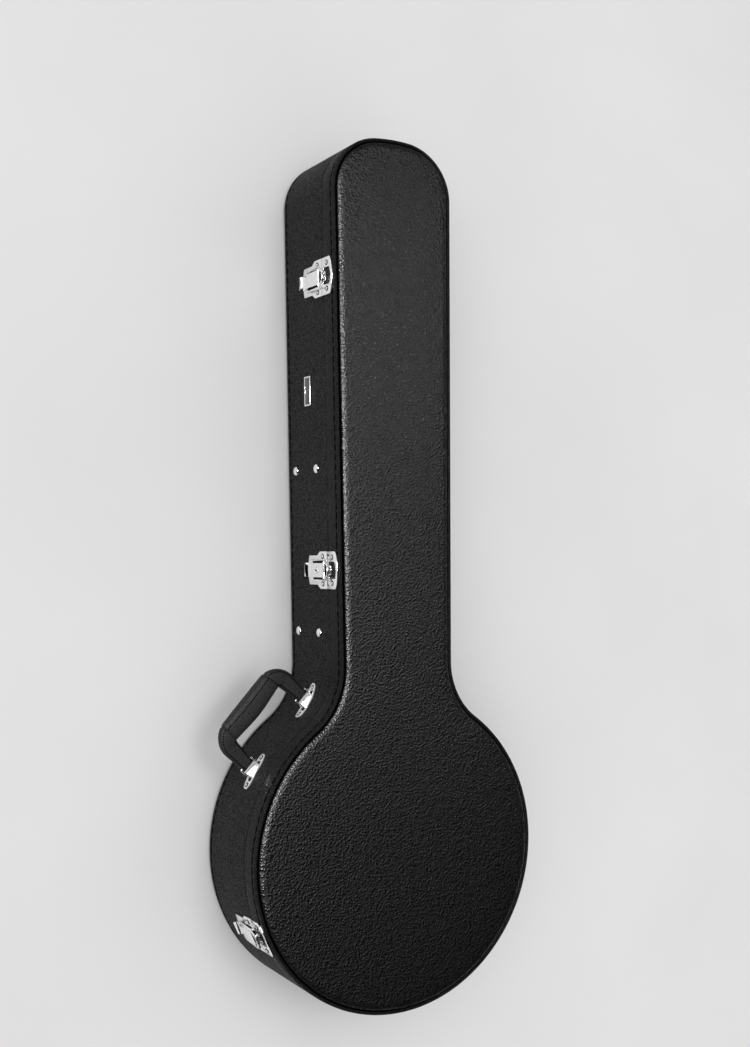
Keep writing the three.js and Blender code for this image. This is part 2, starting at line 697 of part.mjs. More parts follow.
function leverShape() {
  const topX = latchPivotHeight + leverHalfHeight;
  const bottomX = latchPivotHeight - leverHalfHeight;
  const endX = topX - leverFacetDip;
  const body = extrudeY([
    [bottomX, leverEndZ], [endX, leverEndZ], [topX, leverEndZ + leverFacetLength],
    ...arc(latchPivotHeight, pivotZ, leverHalfHeight, 0, Math.PI, 2 * bendSteps),
  ], -leverHalfWidth, leverHalfWidth);
  const inside = leverHalfWidth - latchSheet;
  const channel = extrudeY([
    [-cutOverrun, leverEndZ + latchSheet], [endX - latchSheet, leverEndZ + latchSheet],
    [topX - latchSheet, leverEndZ + leverFacetLength], [topX - latchSheet, pivotZ + cutOverrun],
    [-cutOverrun, pivotZ + cutOverrun],
  ], -inside, inside);
  const tabX = plateFace + leverTabGap;
  const tabEnd = leverEndZ - leverTabReach;
  const curl = extrudeY(strip([
    [endX - latchSheet / 2, leverEndZ + latchSheet],
    ...leverTabShares.map((share) => [tabX, leverEndZ - leverTabReach * share]),
    [tabX + leverTabLift, tabEnd],
  ], latchSheet), -leverTabHalfWidth, leverTabHalfWidth);
  const tabSide = leverTabHalfWidth - leverTabCorner;
  const tab = common(curl, extrudeX([
    ...arc(-tabSide, tabEnd + leverTabCorner, leverTabCorner, Math.PI, 1.5 * Math.PI, bendSteps),
    ...arc(tabSide, tabEnd + leverTabCorner, leverTabCorner, 1.5 * Math.PI, 2 * Math.PI, bendSteps),
    [leverTabHalfWidth, 0], [-leverTabHalfWidth, 0],
  ], 0, latchHalfWidth));
  const pinHoles = [[latchPivotHeight, pivotZ, latchPinRadius], [bailPinX, bailPinZ, bailWireRadius]]
    .map(([x, z, radius]) => rodAlongY(radius + wireRunGap / 2, -latchHalfWidth, latchHalfWidth, x, z));
  return cut(join(cut(body, channel), tab), ...pinHoles);
}

function bailShape() {
  const start = new THREE.Vector3(bailPinX, 0, bailPinZ);
  const end = new THREE.Vector3(hookHeight + seatGap + bailWireRadius, 0, bailBarRise);
  const along = end.clone().sub(start);
  const length = along.length();
  along.normalize();
  const stubEnd = leverHalfWidth - latchSheet - seatGap;
  const half = [[stubEnd, 0], [bailLane, 0], [bailLane, length * bailBendShares[0]],
    [bailNeckHalfWidth, length * bailBendShares[1]], [bailNeckHalfWidth, length]];
  const path = [...half, ...half.slice().reverse().map(([y, l]) => [-y, l])]
    .map(([y, l]) => start.clone().addScaledVector(along, l).setY(y));
  return wire(path, new THREE.Vector3().crossVectors(unitY, along), bailWireRadius, wireSides);
}

function keeperShape(group, curvature) {
  const bowed = arc(0, 0, 1, 0, Math.PI, 2 * bendSteps).map(([y, z]) => [
    y * latchHalfWidth, keeperCornerRise + z * (keeperTipRise - keeperCornerRise)]);
  const plate = wallPlate(group, latchPlateThickness,
    [[-latchHalfWidth, seatGap], [latchHalfWidth, seatGap], ...bowed]);
  const tip = hookHeight - latchSheet / 2;
  const hook = extrudeY(strip([[0, hookBase], [plateFace + latchSheet / 2, hookBend],
    [tip, hookTurn], [tip, hookTip]], latchSheet), -hookHalfWidth, hookHalfWidth);
  const rivetFace = plateFace + wallRise(curvature, keeperRivetReach);
  const rivets = [-1, 1].map((side) => dome(rivetRadius, rivetHeight, rivetFace,
    side * keeperRivetReach, keeperRivetRise));
  const opening = extrudeX([
    [-keeperWindowHalfWidth, keeperWindowLow], [-keeperTongueHalfWidth, keeperWindowLow],
    [-keeperTongueHalfWidth, keeperTongueTip], [keeperTongueHalfWidth, keeperTongueTip],
    [keeperTongueHalfWidth, keeperWindowLow], [keeperWindowHalfWidth, keeperWindowLow],
    ...arc(0, 0, 1, 0, Math.PI, 2 * bendSteps).map(([y, z]) => [y * keeperWindowHalfWidth,
      keeperWindowShoulder + z * (keeperWindowHigh - keeperWindowShoulder)]),
  ], -cutOverrun, cutOverrun);
  return cut(join(plate, hook, ...rivets), opening, seenFrom(group, wallBlock));
}

function lockShape() {
  const face = latchPivotHeight + leverHalfHeight + lockProudHeight;
  const z = pivotZ - lockDrop;
  const barrel = rodAlongX(lockRadius, plateFace + seatGap, face, 0, z);
  return cut(barrel, block(face - keySlotDepth, face + cutOverrun, -keySlotWidth / 2,
    keySlotWidth / 2, z - keySlotLength / 2, z + keySlotLength / 2));
}

function addLatch(name, x, y, turn, curvature, locked) {
  const group = addGroup(caseGroup, x, y, partingHeight, turn);
  addPlate(name, group, curvature);
  const lockHole = rodAlongX(lockRadius + runningGap, 0, latchHalfWidth, 0, pivotZ - lockDrop);
  addMesh(group, `${name}_lever`, locked ? cut(leverShape(), lockHole) : leverShape(), chrome);
  addMesh(group, `${name}_pin`, rodAlongY(latchPinRadius, -latchEars[1], latchEars[1],
    latchPivotHeight, pivotZ), steel);
  addMesh(group, `${name}_bail`, bailShape(), chrome);
  addMesh(group, `${name}_keeper`, keeperShape(group, curvature), chrome);
  if (locked) addMesh(group, 'lock_cylinder', lockShape(), chrome);
}
const leftTurn = Math.PI + sideSlope;
const headLatchY = alongNeck(headLatchShare);
const neckLatchY = alongNeck(neckLatchShare);
addLatch('latch_head', -sideLineX(headLatchY), headLatchY, leftTurn, 0, false);
addLatch('latch_neck', -sideLineX(neckLatchY), neckLatchY, leftTurn, 0, true);
const bowlLatchTurn = THREE.MathUtils.degToRad(bowlLatchAngle);
addLatch('latch_bowl', bowlRadius * Math.cos(bowlLatchTurn), bowlRadius * Math.sin(bowlLatchTurn),
  bowlLatchTurn, 1 / bowlRadius, false);

// Badge plate: a rim with a bare inlay
const badgeY = alongNeck(badgeShare);
const badgeGroup = addGroup(caseGroup, -sideLineX(badgeY), badgeY,
  badgeHeightShare * partingHeight, leftTurn);
const badgeFace = seatGap + badgeThickness;
const badgeBlock = (inset, low, high) => block(low, high, inset - badgeLength / 2,
  badgeLength / 2 - inset, inset - badgeWidth / 2, badgeWidth / 2 - inset);
addMesh(badgeGroup, 'badge_frame', cut(badgeBlock(0, seatGap, badgeFace),
  badgeBlock(badgeRim, badgeFace - badgeInlayDepth, badgeFace + cutOverrun)), chrome);
addMesh(badgeGroup, 'badge_inlay', badgeBlock(badgeRim + seatGap,
  badgeFace - badgeInlayDepth + seatGap, badgeFace), darkEnamel);

// Handle. In its own frame X points away from the case, Y runs along the fold axis, and z is 0 at
// the axis, which passes through both brackets.
function bracketPlace(x, y, normalX, normalY, curvature) {
  return { point: new THREE.Vector2(x, y), turn: Math.atan2(normalY, normalX), curvature };
}
const lowerTurn = THREE.MathUtils.degToRad(lowerBracketAngle);
const lowerPlace = bracketPlace(bowlRadius * Math.cos(lowerTurn), bowlRadius * Math.sin(lowerTurn),
  Math.cos(lowerTurn), Math.sin(lowerTurn), 1 / bowlRadius);
const upperTurn = Math.PI - sideSlope + THREE.MathUtils.degToRad(upperBracketTurn);
const upperPlace = bracketPlace(
  -filletCentre.x - neckFilletRadius * Math.cos(upperTurn),
  filletCentre.y + neckFilletRadius * Math.sin(upperTurn),
  Math.cos(upperTurn), -Math.sin(upperTurn), -1 / neckFilletRadius);
const chord = lowerPlace.point.clone().sub(upperPlace.point);
const legY = chord.length() / 2;
const handleTurn = chord.angle() - Math.PI / 2;
const axisPoint = lowerPlace.point.clone().add(upperPlace.point).multiplyScalar(1 / 2).add(
  new THREE.Vector2(Math.cos(handleTurn), Math.sin(handleTurn)).multiplyScalar(handleAxisOffset));
const handleAxisHeight = handleHeightShare * partingHeight;
const handleGroup = addGroup(caseGroup, axisPoint.x, axisPoint.y, handleAxisHeight, handleTurn);
const gripInnerX = handleReach - gripDepth;
const gripMiddleX = handleReach - gripDepth / 2;
const legOuterY = legY + legWidth / 2;
const legInnerY = legY - legWidth / 2 - legFlare;
const outerCornerY = legOuterY - handleCornerRadius;
const outerCornerX = handleReach - handleCornerRadius;
const handleSeam = outerCornerY + handleSeamShare * handleCornerRadius;

// One rounded cross-section between an inner and an outer point of the handle's plane
function handleSection(inner, outer, thickness) {
  const middle = [(inner[0] + outer[0]) / 2, (inner[1] + outer[1]) / 2];
  const half = [(outer[0] - inner[0]) / 2, (outer[1] - inner[1]) / 2];
  const soften = (value) => Math.sign(value) * Math.abs(value) ** sectionSoftness;
  return ringOfPoints(gripSides, (cosine, sine) => new THREE.Vector3(
    middle[0] + half[0] * soften(cosine), middle[1] + half[1] * soften(cosine),
    (thickness / 2) * soften(sine)));
}

function outerCorner(y) {
  const past = Math.max(Math.abs(y) - outerCornerY, 0);
  return outerCornerX + Math.sqrt(handleCornerRadius ** 2 - past ** 2);
}

function gripShape() {
  const reach = handleSeam - seatGap / 2;
  return loft(Array.from({ length: gripStations }, (_, i) => {
    const share = (2 * i) / (gripStations - 1) - 1;
    const y = share * reach;
    const swell = (1 - share ** 2) ** 2;
    return handleSection([gripInnerX - gripBelly * swell, y], [outerCorner(y), y],
      gripEndThickness + (gripThickness - gripEndThickness) * Math.sqrt(swell));
  }));
}

function legShape(side) {
  const start = Math.asin((handleSeam + seatGap / 2 - outerCornerY) / handleCornerRadius);
  const innerCentreY = legInnerY - handleInnerRadius;
  const innerCentreX = gripInnerX - handleInnerRadius;
  const bend = Array.from({ length: bendSteps + 2 }, (_, i) => {
    const share = i / (bendSteps + 1);
    const outerAngle = start + (Math.PI / 2 - start) * share;
    const innerY = innerCentreY + handleInnerRadius * Math.sin((Math.PI / 2) * share);
    return handleSection(
      [innerCentreX + handleInnerRadius * Math.cos((Math.PI / 2) * share),
        side * (share === 0 ? handleSeam + seatGap / 2 : Math.max(innerY, handleSeam + seatGap / 2))],
      [outerCornerX + handleCornerRadius * Math.cos(outerAngle),
        side * (outerCornerY + handleCornerRadius * Math.sin(outerAngle))],
      gripEndThickness + (legThickness - gripEndThickness) * share);
  });
  const straight = [[ringReach, legEndThickness], [legEndReach, legEndThickness * legEndShare]]
    .map(([x, thickness]) => handleSection([x, side * (legY - legEndWidth / 2)],
      [x, side * (legY + legEndWidth / 2)], thickness));
  return loft([...bend, ...straight]);
}

// The steel strap inside, as a U of rectangular section
function coreShape(extra) {
  const bendY = legY - coreBendRadius;
  const bendX = gripMiddleX - coreBendRadius;
  const half = [[ringReach + ringWireRadius + legEndThickness / 2 - extra, legY],
    ...arc(bendX, bendY, coreBendRadius, Math.PI / 2, 0, bendSteps)
      .map(([x, y]) => [x, y])];
  const path = [...half, ...half.slice().reverse().map(([x, y]) => [x, -y])];
  const rings = path.map(([x, y], i) => {
    const before = path[Math.max(i - 1, 0)];
    const after = path[Math.min(i + 1, path.length - 1)];
    const along = new THREE.Vector2(after[0] - before[0], after[1] - before[1]).normalize();
    const reach = coreThickness / 2 + extra;
    const height = coreWidth / 2 + extra;
    return [[-1, -1], [1, -1], [1, 1], [-1, 1]].map(([across, up]) => new THREE.Vector3(
      x - along.y * reach * across, y + along.x * reach * across, height * up));
  });
  return loft(rings);
}
const coreRoom = coreShape(runningGap);
const ringHole = rodAlongY(ringWireRadius + runningGap, -legOuterY - cutOverrun,
  legOuterY + cutOverrun, ringReach, 0);
addMesh(handleGroup, 'handle_grip', cut(gripShape(), coreRoom), leather);
addMesh(handleGroup, 'handle_core', coreShape(0), steel);
const handleSides = [['upper', -1, upperPlace], ['lower', 1, lowerPlace]];

const ringHalf = legEndWidth / 2 + ringSideGap + ringWireRadius;

function ringShape(side) {
  const corner = (x, y, from) => arc(x, y, ringBendRadius, from, from + Math.PI / 2, 2);
  const high = ringHalf - ringBendRadius;
  const path = [
    ...corner(ringBendRadius, -high, Math.PI), ...corner(ringReach - ringBendRadius, -high, 1.5 * Math.PI),
    ...corner(ringReach - ringBendRadius, high, 0), ...corner(ringBendRadius, high, Math.PI / 2),
  ].map(([x, y]) => new THREE.Vector3(x, side * legY + y, 0));
  return wire(path, unitZ, ringWireRadius, wireSides, true);
}

// An oval plate that follows the wall, with a bridge over the ring's inner bar and a slot at each
// end of the bridge for the ring's sides to swing in
function bracketShape(side, group, curvature) {
  const soften = (value) => Math.sign(value) * Math.abs(value) ** bracketSoftness;
  const oval = ringOfPoints(4 * bendSteps, (y, z) => [
    soften(y) * (bracketLength / 2), soften(z) * (bracketWidth / 2)]);
  const plate = wallPlate(group, bracketThickness, oval);
  const tunnelRadius = ringWireRadius + runningGap;
  const archHeight = tunnelRadius + bracketArchWall;
  const archReach = bracketArchLength / 2;
  const slotReach = archReach + bracketSlotLength;
  const middle = side * legY;
  const arch = extrudeY([[archHeight, -bracketArchTop / 2], [archHeight, bracketArchTop / 2],
    [-handleAxisOffset, bracketArchFoot / 2], [-handleAxisOffset - cutOverrun, bracketArchFoot / 2],
    [-handleAxisOffset - cutOverrun, -bracketArchFoot / 2], [-handleAxisOffset, -bracketArchFoot / 2]],
  middle - archReach, middle + archReach);
  const tunnel = extrudeY([...arc(0, 0, tunnelRadius, -Math.PI / 2, Math.PI / 2, 2 * bendSteps),
    [-tunnelRadius, tunnelRadius], [-tunnelRadius, -tunnelRadius]],
  middle - slotReach, middle + slotReach);
  const slots = [[-slotReach, -archReach], [archReach, slotReach]].map(([low, high]) => (
    block(-handleAxisOffset - cutOverrun, archHeight, middle + low, middle + high,
      -bracketSlotWidth / 2, bracketSlotWidth / 2)));
  const moved = (geometry) => seenFrom(group, broughtOut(handleGroup, geometry));
  const screwFace = seatGap + bracketThickness + wallRise(curvature, bracketScrewReach);
  const screws = [-1, 1].map((end) => dome(bracketScrewRadius,
    bracketScrewHeight, screwFace, end * bracketScrewReach, 0));
  return cut(join(cut(plate, ...slots.map(moved)), moved(arch), ...screws), moved(tunnel),
    seenFrom(group, wallBlock));
}

for (const [label, side, place] of handleSides) {
  addMesh(handleGroup, `handle_leg_${label}`, cut(legShape(side), coreRoom, ringHole), leather);
  addMesh(handleGroup, `handle_ring_${label}`, ringShape(side), chrome);
  const group = addGroup(caseGroup, place.point.x, place.point.y, handleAxisHeight, place.turn);
  addMesh(group, `handle_bracket_${label}`, bracketShape(side, group, place.curvature), chrome);
}

// Hinges, on the side away from the handle where the bowl is widest. In a hinge's own frame X
// points out of the wall, z is 0 at the parting line, and the pin is hingeOffset outside the wall.
function leafShape(group, up) {
  const half = hingeWidth / 2;
  const near = hingeBarrelRadius + hingeLeafGap;
  const plate = wallPlate(group, hingeLeafThickness, [
    [-half, up * near], [half, up * near], [half, up * hingeLeafHeight], [-half, up * hingeLeafHeight]]);
  const knuckle = hingeWidth / 3;
  const spans = up > 0 ? [[-knuckle / 2 + runningGap / 2, knuckle / 2 - runningGap / 2]]
    : [[-half, -knuckle / 2 - runningGap / 2], [knuckle / 2 + runningGap / 2, half]];
  const parts = spans.flatMap(([low, high]) => [
    rodAlongY(hingeBarrelRadius, low, high, hingeOffset, 0),
    block(-cutOverrun, hingeOffset, low, high, Math.min(0, up * (near + hingeLeafThickness)),
      Math.max(0, up * (near + hingeLeafThickness)))]);
  const rivets = [-1, 1].map((side) => {
    const y = side * hingeRivetReach;
    const rise = wallRise(1 / bowlRadius, group.position.y + y);
    return dome(rivetRadius, rivetHeight, seatGap + hingeLeafThickness + rise, y, up * hingeRivetDrop);
  });
  const others = up > 0 ? [] : [rodAlongY(hingeBarrelRadius + runningGap, -knuckle / 2 - runningGap / 2,
    knuckle / 2 + runningGap / 2, hingeOffset, 0)];
  return cut(join(plate, ...parts, ...rivets), seenFrom(group, wallBlock),
    rodAlongY(hingePinRadius + runningGap, -hingeWidth, hingeWidth, hingeOffset, 0), ...others);
}

for (const [label, side] of [['upper', 1], ['lower', -1]]) {
  const group = addGroup(caseGroup, bowlRadius, (side * hingeSpacing) / 2, partingHeight);
  addMesh(group, `hinge_${label}_base_leaf`, leafShape(group, -1), chrome);
  addMesh(group, `hinge_${label}_lid_leaf`, leafShape(group, 1), chrome);
  addMesh(group, `hinge_${label}_pin`,
    rodAlongY(hingePinRadius, -hingeWidth / 2, hingeWidth / 2, hingeOffset, 0), steel);
}

export default caseGroup;
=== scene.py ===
import json
import math

import bmesh
import bpy
import numpy as np
from mathutils import Matrix, Vector

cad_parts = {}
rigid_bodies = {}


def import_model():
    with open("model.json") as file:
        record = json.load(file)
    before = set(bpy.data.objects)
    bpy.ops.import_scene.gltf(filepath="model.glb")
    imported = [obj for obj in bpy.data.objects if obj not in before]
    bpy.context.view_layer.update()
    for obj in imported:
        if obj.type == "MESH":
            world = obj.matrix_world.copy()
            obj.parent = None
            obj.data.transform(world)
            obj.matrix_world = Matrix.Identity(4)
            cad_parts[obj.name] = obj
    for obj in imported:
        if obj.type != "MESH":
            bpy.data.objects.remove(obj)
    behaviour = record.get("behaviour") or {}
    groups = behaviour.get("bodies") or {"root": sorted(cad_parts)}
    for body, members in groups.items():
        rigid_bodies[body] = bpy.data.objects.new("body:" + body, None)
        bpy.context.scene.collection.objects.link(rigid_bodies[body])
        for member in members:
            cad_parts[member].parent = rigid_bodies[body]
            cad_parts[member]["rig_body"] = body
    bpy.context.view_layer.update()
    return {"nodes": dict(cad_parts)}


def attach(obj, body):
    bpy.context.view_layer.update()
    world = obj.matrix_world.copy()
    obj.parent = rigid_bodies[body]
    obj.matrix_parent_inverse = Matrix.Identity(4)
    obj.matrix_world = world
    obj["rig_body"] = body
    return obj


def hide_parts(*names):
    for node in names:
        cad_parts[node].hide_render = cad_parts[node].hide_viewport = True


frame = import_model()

scene = bpy.context.scene

# ---- Camera, floor and light
# The case lies on its base on a pale floor. The camera hangs over its latch side and is rolled so
# that the neck points up the picture. A broad soft light comes from the left above the head, and
# three lamps give only gloss, on the pad's edge, the neck's face and the chrome.
camera = bpy.data.objects.new("camera", bpy.data.cameras.new("camera"))
scene.collection.objects.link(camera)
look = Vector((0.4962, 0.0191, -0.8680)).normalized()
right = look.cross(Vector((-0.0003, 0.9998, 0.0218))).normalized()
turn = Matrix((right, right.cross(look), -look)).transposed().to_4x4()
camera.matrix_world = Matrix.Translation((-0.8008, 0.3626, 1.4844)) @ turn
camera.data.lens = 45.033
camera.data.sensor_width = 36.0
camera.data.clip_end = 50.0
scene.camera = camera
scene.view_settings.view_transform = "Standard"


def put(name, mesh):
    """A new object at the origin that holds this mesh."""
    piece = bpy.data.objects.new(name, mesh)
    scene.collection.objects.link(piece)
    return piece


def quads_mesh(name, points, faces):
    mesh = bpy.data.meshes.new(name)
    mesh.from_pydata([tuple(p) for p in points], [], faces)
    mesh.update()
    return mesh


def shader(name, **sockets):
    """A material with one Principled shader, and a function that adds and links nodes to it."""
    material = bpy.data.materials.new(name)
    material.use_nodes = True
    tree = material.node_tree
    surface = tree.nodes["Principled BSDF"]

    def plug(node, values):
        for key, value in values.items():
            socket = node.inputs[int(key[1:])] if key[0] == "_" else node.inputs[key.replace("_", " ")]
            if isinstance(value, bpy.types.NodeSocket):
                tree.links.new(value, socket)
            else:
                socket.default_value = value

    def add(kind, settings=(), out=0, **values):
        node = tree.nodes.new("ShaderNode" + kind)
        for key, value in dict(settings).items():
            setattr(node, key, value)
        plug(node, values)
        return node.outputs[out]

    plug(surface, sockets)
    return material, add, lambda **values: plug(surface, values)


def ramp(add, factor, *stops):
    """A colour or value that runs through (place, grey or colour) stops."""
    socket = add("ValToRGB", Fac=factor)
    band = socket.node.color_ramp
    while len(band.elements) < len(stops):
        band.elements.new(0.5)
    for element, (place, colour) in zip(band.elements, stops):
        element.position = place
        element.color = (*colour, 1) if isinstance(colour, tuple) else (colour, colour, colour, 1)
    return socket


floor_paint, add, surface = shader("floor_paper", Base_Color=(0.84, 0.835, 0.84, 1), Roughness=0.9)
grain = add("TexNoise", Vector=add("TexCoord", out="Object"), Scale=3.0, Detail=3.0)
surface(Base_Color=ramp(add, grain, (0.3, (0.82, 0.815, 0.82)), (0.7, (0.86, 0.855, 0.86))))
floor = put("floor", quads_mesh("floor", [(-8, -8, 0), (8, -8, 0), (8, 8, 0), (-8, 8, 0)], [(0, 1, 2, 3)]))
floor.data.materials.append(floor_paint)

world = bpy.data.worlds.new("studio")
scene.world = world
world.use_nodes = True
world.node_tree.nodes["Background"].inputs["Color"].default_value = (1.0, 0.985, 0.99, 1)
world.node_tree.nodes["Background"].inputs["Strength"].default_value = 0.5
world.cycles_visibility.glossy = False


def lamp(name, kind, place, aim, energy, **settings):
    light = bpy.data.lights.new(name, kind)
    light.energy = energy
    for key, value in settings.items():
        setattr(light, key, value)
    holder = bpy.data.objects.new(name, light)
    scene.collection.objects.link(holder)
    direction = Vector(aim) - Vector(place)
    holder.matrix_world = Matrix.Translation(place) @ direction.to_track_quat("-Z", "Y").to_matrix().to_4x4()
    return holder


overhead = lamp("overhead", "SUN", (-1.0, 0.9, 2.8), (0, 0.3, 0), 1.06, angle=1.2)
overhead.visible_glossy = False
lamp("zenith", "SUN", (0.05, 0.5, 1.0), (0, 0.3, 0), 0.3, angle=0.4)
for name, place, energy, size in (("edge_light", (-1.2, 0.6, 2.2), 70.0, 0.6),
                                  ("neck_sheen", (1.25, 1.0, 2.2), 6.0, 0.5),
                                  ("chrome_card", (-1.5, 1.3, 1.1), 11.0, 1.7)):
    gloss_lamp = lamp(name, "AREA", place, (-0.05, 0.35, 0.1), energy, size=size)
    gloss_lamp.visible_diffuse = False

# ---- Outline of the case
# A round bowl, hollow shoulders and a long neck with a rounded head, bent in plywood. Every shell,
# band, pad and lining follows this one line at its own inset.
bowl_radius, head_reach = 0.190, 0.855
neck_width_at_bowl, neck_width_at_head = 0.152, 0.165
shoulder_radius, corner_radius, head_radius = 0.086, 0.066, 0.215
slope = math.atan2((neck_width_at_head - neck_width_at_bowl) / 2, head_reach - bowl_radius)
side_normal = np.array((math.cos(slope), -math.sin(slope)))
side_along = np.array((math.sin(slope), math.cos(slope)))
side_distance = side_normal @ (neck_width_at_bowl / 2, bowl_radius)
reach = side_distance + shoulder_radius
shoulder = side_normal * reach + side_along * math.sqrt((bowl_radius + shoulder_radius) ** 2 - reach ** 2)
head_centre = np.array((0, head_reach - head_radius))
start = side_normal * (side_distance - corner_radius) - head_centre
along = start @ side_along
corner = start + head_centre + side_along * (
    math.sqrt(along ** 2 - start @ start + (head_radius - corner_radius) ** 2) - along)


def arc(centre, radius, low, high, steps):
    turns = np.linspace(low, high, steps + 1)
    return np.column_stack((centre[0] + radius * np.cos(turns), centre[1] + radius * np.sin(turns)))


def outline(inset, fine=5):
    """The outline's points, moved in by inset, anticlockwise from the bowl's foot."""
    shoulder_turn = math.atan2(shoulder[1], shoulder[0])
    corner_turn = math.atan2(corner[1] - head_centre[1], corner[0])
    bowl = arc((0, 0), bowl_radius - inset, -math.pi / 2, shoulder_turn, 16 * fine)
    hollow = arc(shoulder, shoulder_radius + inset, shoulder_turn + math.pi, math.pi - slope, 6 * fine)
    head = arc(corner, corner_radius - inset, -slope, corner_turn, 8 * fine)
    top = arc(head_centre, head_radius - inset, corner_turn, math.pi / 2, fine)
    side = np.linspace(hollow[-1], head[0], 12 * fine)[1:-1]
    half = np.vstack((bowl, hollow[1:], side, head, top[1:]))
    mirrored = half[1:-1][::-1] * (-1, 1)
    return np.vstack((half, mirrored))


def sweep(name, profile, closed=True, fine=5):
    """A wall along the outline, from a closed list of (inset, height); open ones get flat ends."""
    rows = [np.column_stack((outline(inset, fine), np.full(len(outline(inset, fine)), height)))
            for inset, height in profile]
    count = len(rows[0])
    faces = []
    for i in range(len(rows) if closed else len(rows) - 1):
        j = (i + 1) % len(rows)
        for k in range(count):
            n = (k + 1) % count
            faces.append((i * count + k, i * count + n, j * count + n, j * count + k))
    if not closed:
        faces.append(tuple(reversed(range(count))))
        faces.append(tuple((len(rows) - 1) * count + k for k in range(count)))
    mesh = quads_mesh(name, np.vstack(rows), faces)
    return put(name, face_outwards(mesh))


def face_outwards(mesh, angle=35):
    """Turns all faces outwards and shades them smooth up to an angle."""
    body = bmesh.new()
    body.from_mesh(mesh)
    bmesh.ops.recalc_face_normals(body, faces=body.faces)
    body.to_mesh(mesh)
    body.free()
    mesh.shade_smooth()
    mesh.set_sharp_from_angle(angle=math.radians(angle))
    return mesh


def eased(profile, radius, steps=3):
    """The closed profile with its corners rounded."""
    points = [np.array(p, float) for p in profile]
    result = []
    for before, here, after in zip(points[-1:] + points[:-1], points, points[1:] + points[:1]):
        a, b = before - here, after - here
        cut = min(radius, np.linalg.norm(a) * 0.45, np.linalg.norm(b) * 0.45)
        first, last = here + a / np.linalg.norm(a) * cut, here + b / np.linalg.norm(b) * cut
        for t in np.linspace(0, 1, steps + 1):
            result.append((1 - t) ** 2 * first + 2 * t * (1 - t) * here + t ** 2 * last)
    return [tuple(p) for p in result]


def dress(piece, body, material, slot, *stands_for):
    """Gives a finished piece its material, and ties it to its body and its CAD nodes. The slot is not used.
    """
    piece.data.materials.clear()
    piece.data.materials.append(material)
    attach(piece, body)
    if stands_for:
        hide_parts(*stands_for)
    return piece


# ---- Side bands
# Embossed vinyl glued round the plywood rims of base and lid, folded over the edge at the parting
# line and turned into a lip at each face, where one row of sunk stitches holds it.
parting, parting_gap = 0.107, 0.00015
low_lip, high_lip = 0.004, 0.135
vinyl_thickness, lip_reach, fold_reach, fold_depth = 0.0012, 0.004, 0.0063, 0.001
stitch_inset, groove_half, groove_floor, groove_depth = 0.0065, 0.0019, 0.0011, 0.0006


def vinyl(name, colour, light, pebble, depth, rough, gloss, domed=False):
    """Embossed vinyl: pebbles of uneven tone between fine creases that are painted darker as shade, over
    slow wrinkles.
    """
    material, add, surface = shader(name, Specular_IOR_Level=gloss)
    place = add("TexCoord", out="Object")
    bent = add("VectorMath", {"operation": "MULTIPLY_ADD"}, _0=add("TexNoise", out="Color", Vector=place,
               Scale=pebble * 0.4, Detail=1.0), _1=(0.0024, 0.0024, 0.0024), _2=place)
    pebbles = add("TexVoronoi", out="Color", Vector=bent, Scale=pebble)
    if domed:
        tops = ramp(add, pebbles.node.outputs[0], (0.0, 1.0), (0.22, 0.88), (0.45, 0.45), (0.7, 0.0))
    else:
        creases = add("TexVoronoi", {"feature": "DISTANCE_TO_EDGE"}, Vector=bent, Scale=pebble)
        tops = ramp(add, creases, (0.0, 0.0), (0.14, 0.5), (0.32, 0.94), (0.5, 1.0))
    fine = add("TexNoise", Vector=place, Scale=pebble * 4.0, Detail=2.0)
    folds = add("TexNoise", Vector=place, Scale=26.0, Detail=2.0, Distortion=0.5)
    height = add("Math", {"operation": "MULTIPLY_ADD"}, _0=fine, _1=0.05, _2=tops)
    height = add("Math", {"operation": "MULTIPLY_ADD"}, _0=folds, _1=0.6 if domed else 2.0, _2=height)
    uneven = add("Math", {"operation": "MULTIPLY_ADD"}, _0=pebbles, _1=0.8, _2=0.2)
    # Painted shade: the creases are coloured darker than the pebble tops. The tone that changes from pebble
    # to pebble is the vinyl's own.
    tone = add("Math", {"operation": "MULTIPLY"}, _0=tops, _1=uneven)
    surface(Base_Color=ramp(add, tone, (0.05, colour), (0.9, light)),
            Roughness=ramp(add, tops, (0.2, rough + 0.25), (0.9, rough - 0.06)),
            Normal=add("Bump", Height=height, Strength=1.0, Distance=depth))
    return material


side_vinyl = vinyl("side_vinyl", (0.0015, 0.0016, 0.0016), (0.060, 0.062, 0.061), 460.0, 0.00035, 0.45, 0.12)
# The lid's band is a darker copy of the same vinyl: painted shade, because both bands are one vinyl.
shaded_lid_side_vinyl = vinyl("shaded_lid_side_vinyl", (0.001, 0.0011, 0.0011), (0.023, 0.024, 0.0235), 460.0, 0.00035,
                       0.42, 0.14)


def band_profile(lip, edge):
    """A band from its lip at a face to its folded edge at the parting line, with a stitch groove."""
    side = 1 if edge > lip else -1
    seam = lip + side * stitch_inset
    rounded_lip = [(lip_reach, lip + side * 0.0011), (0.0034, lip + side * 0.0006), (0.0028, lip),
                   (vinyl_thickness, lip), (0.0004, lip + side * 0.0004), (0, lip + side * 0.0014)]
    groove = [(0, seam - side * groove_half), (groove_depth, seam - side * groove_floor),
              (groove_depth, seam + side * groove_floor), (0, seam + side * groove_half)]
    rounded_edge = [(0, edge - side * 0.0018), (0.0005, edge - side * 0.0005), (0.0015, edge)]
    inner = [(fold_reach, edge), (fold_reach, edge - side * fold_depth),
             (vinyl_thickness, edge - side * fold_depth), (vinyl_thickness, lip + side * 0.0016),
             (lip_reach, lip + side * 0.0016)]
    return rounded_lip + groove + rounded_edge + inner


dress(sweep("base_side_band", band_profile(low_lip, parting - parting_gap)), "base", side_vinyl,
      "side_vinyl", "base_wall_cover")
dress(sweep("lid_side_band", band_profile(high_lip, parting + parting_gap)), "lid", shaded_lid_side_vinyl,
      "side_vinyl", "lid_wall_cover")

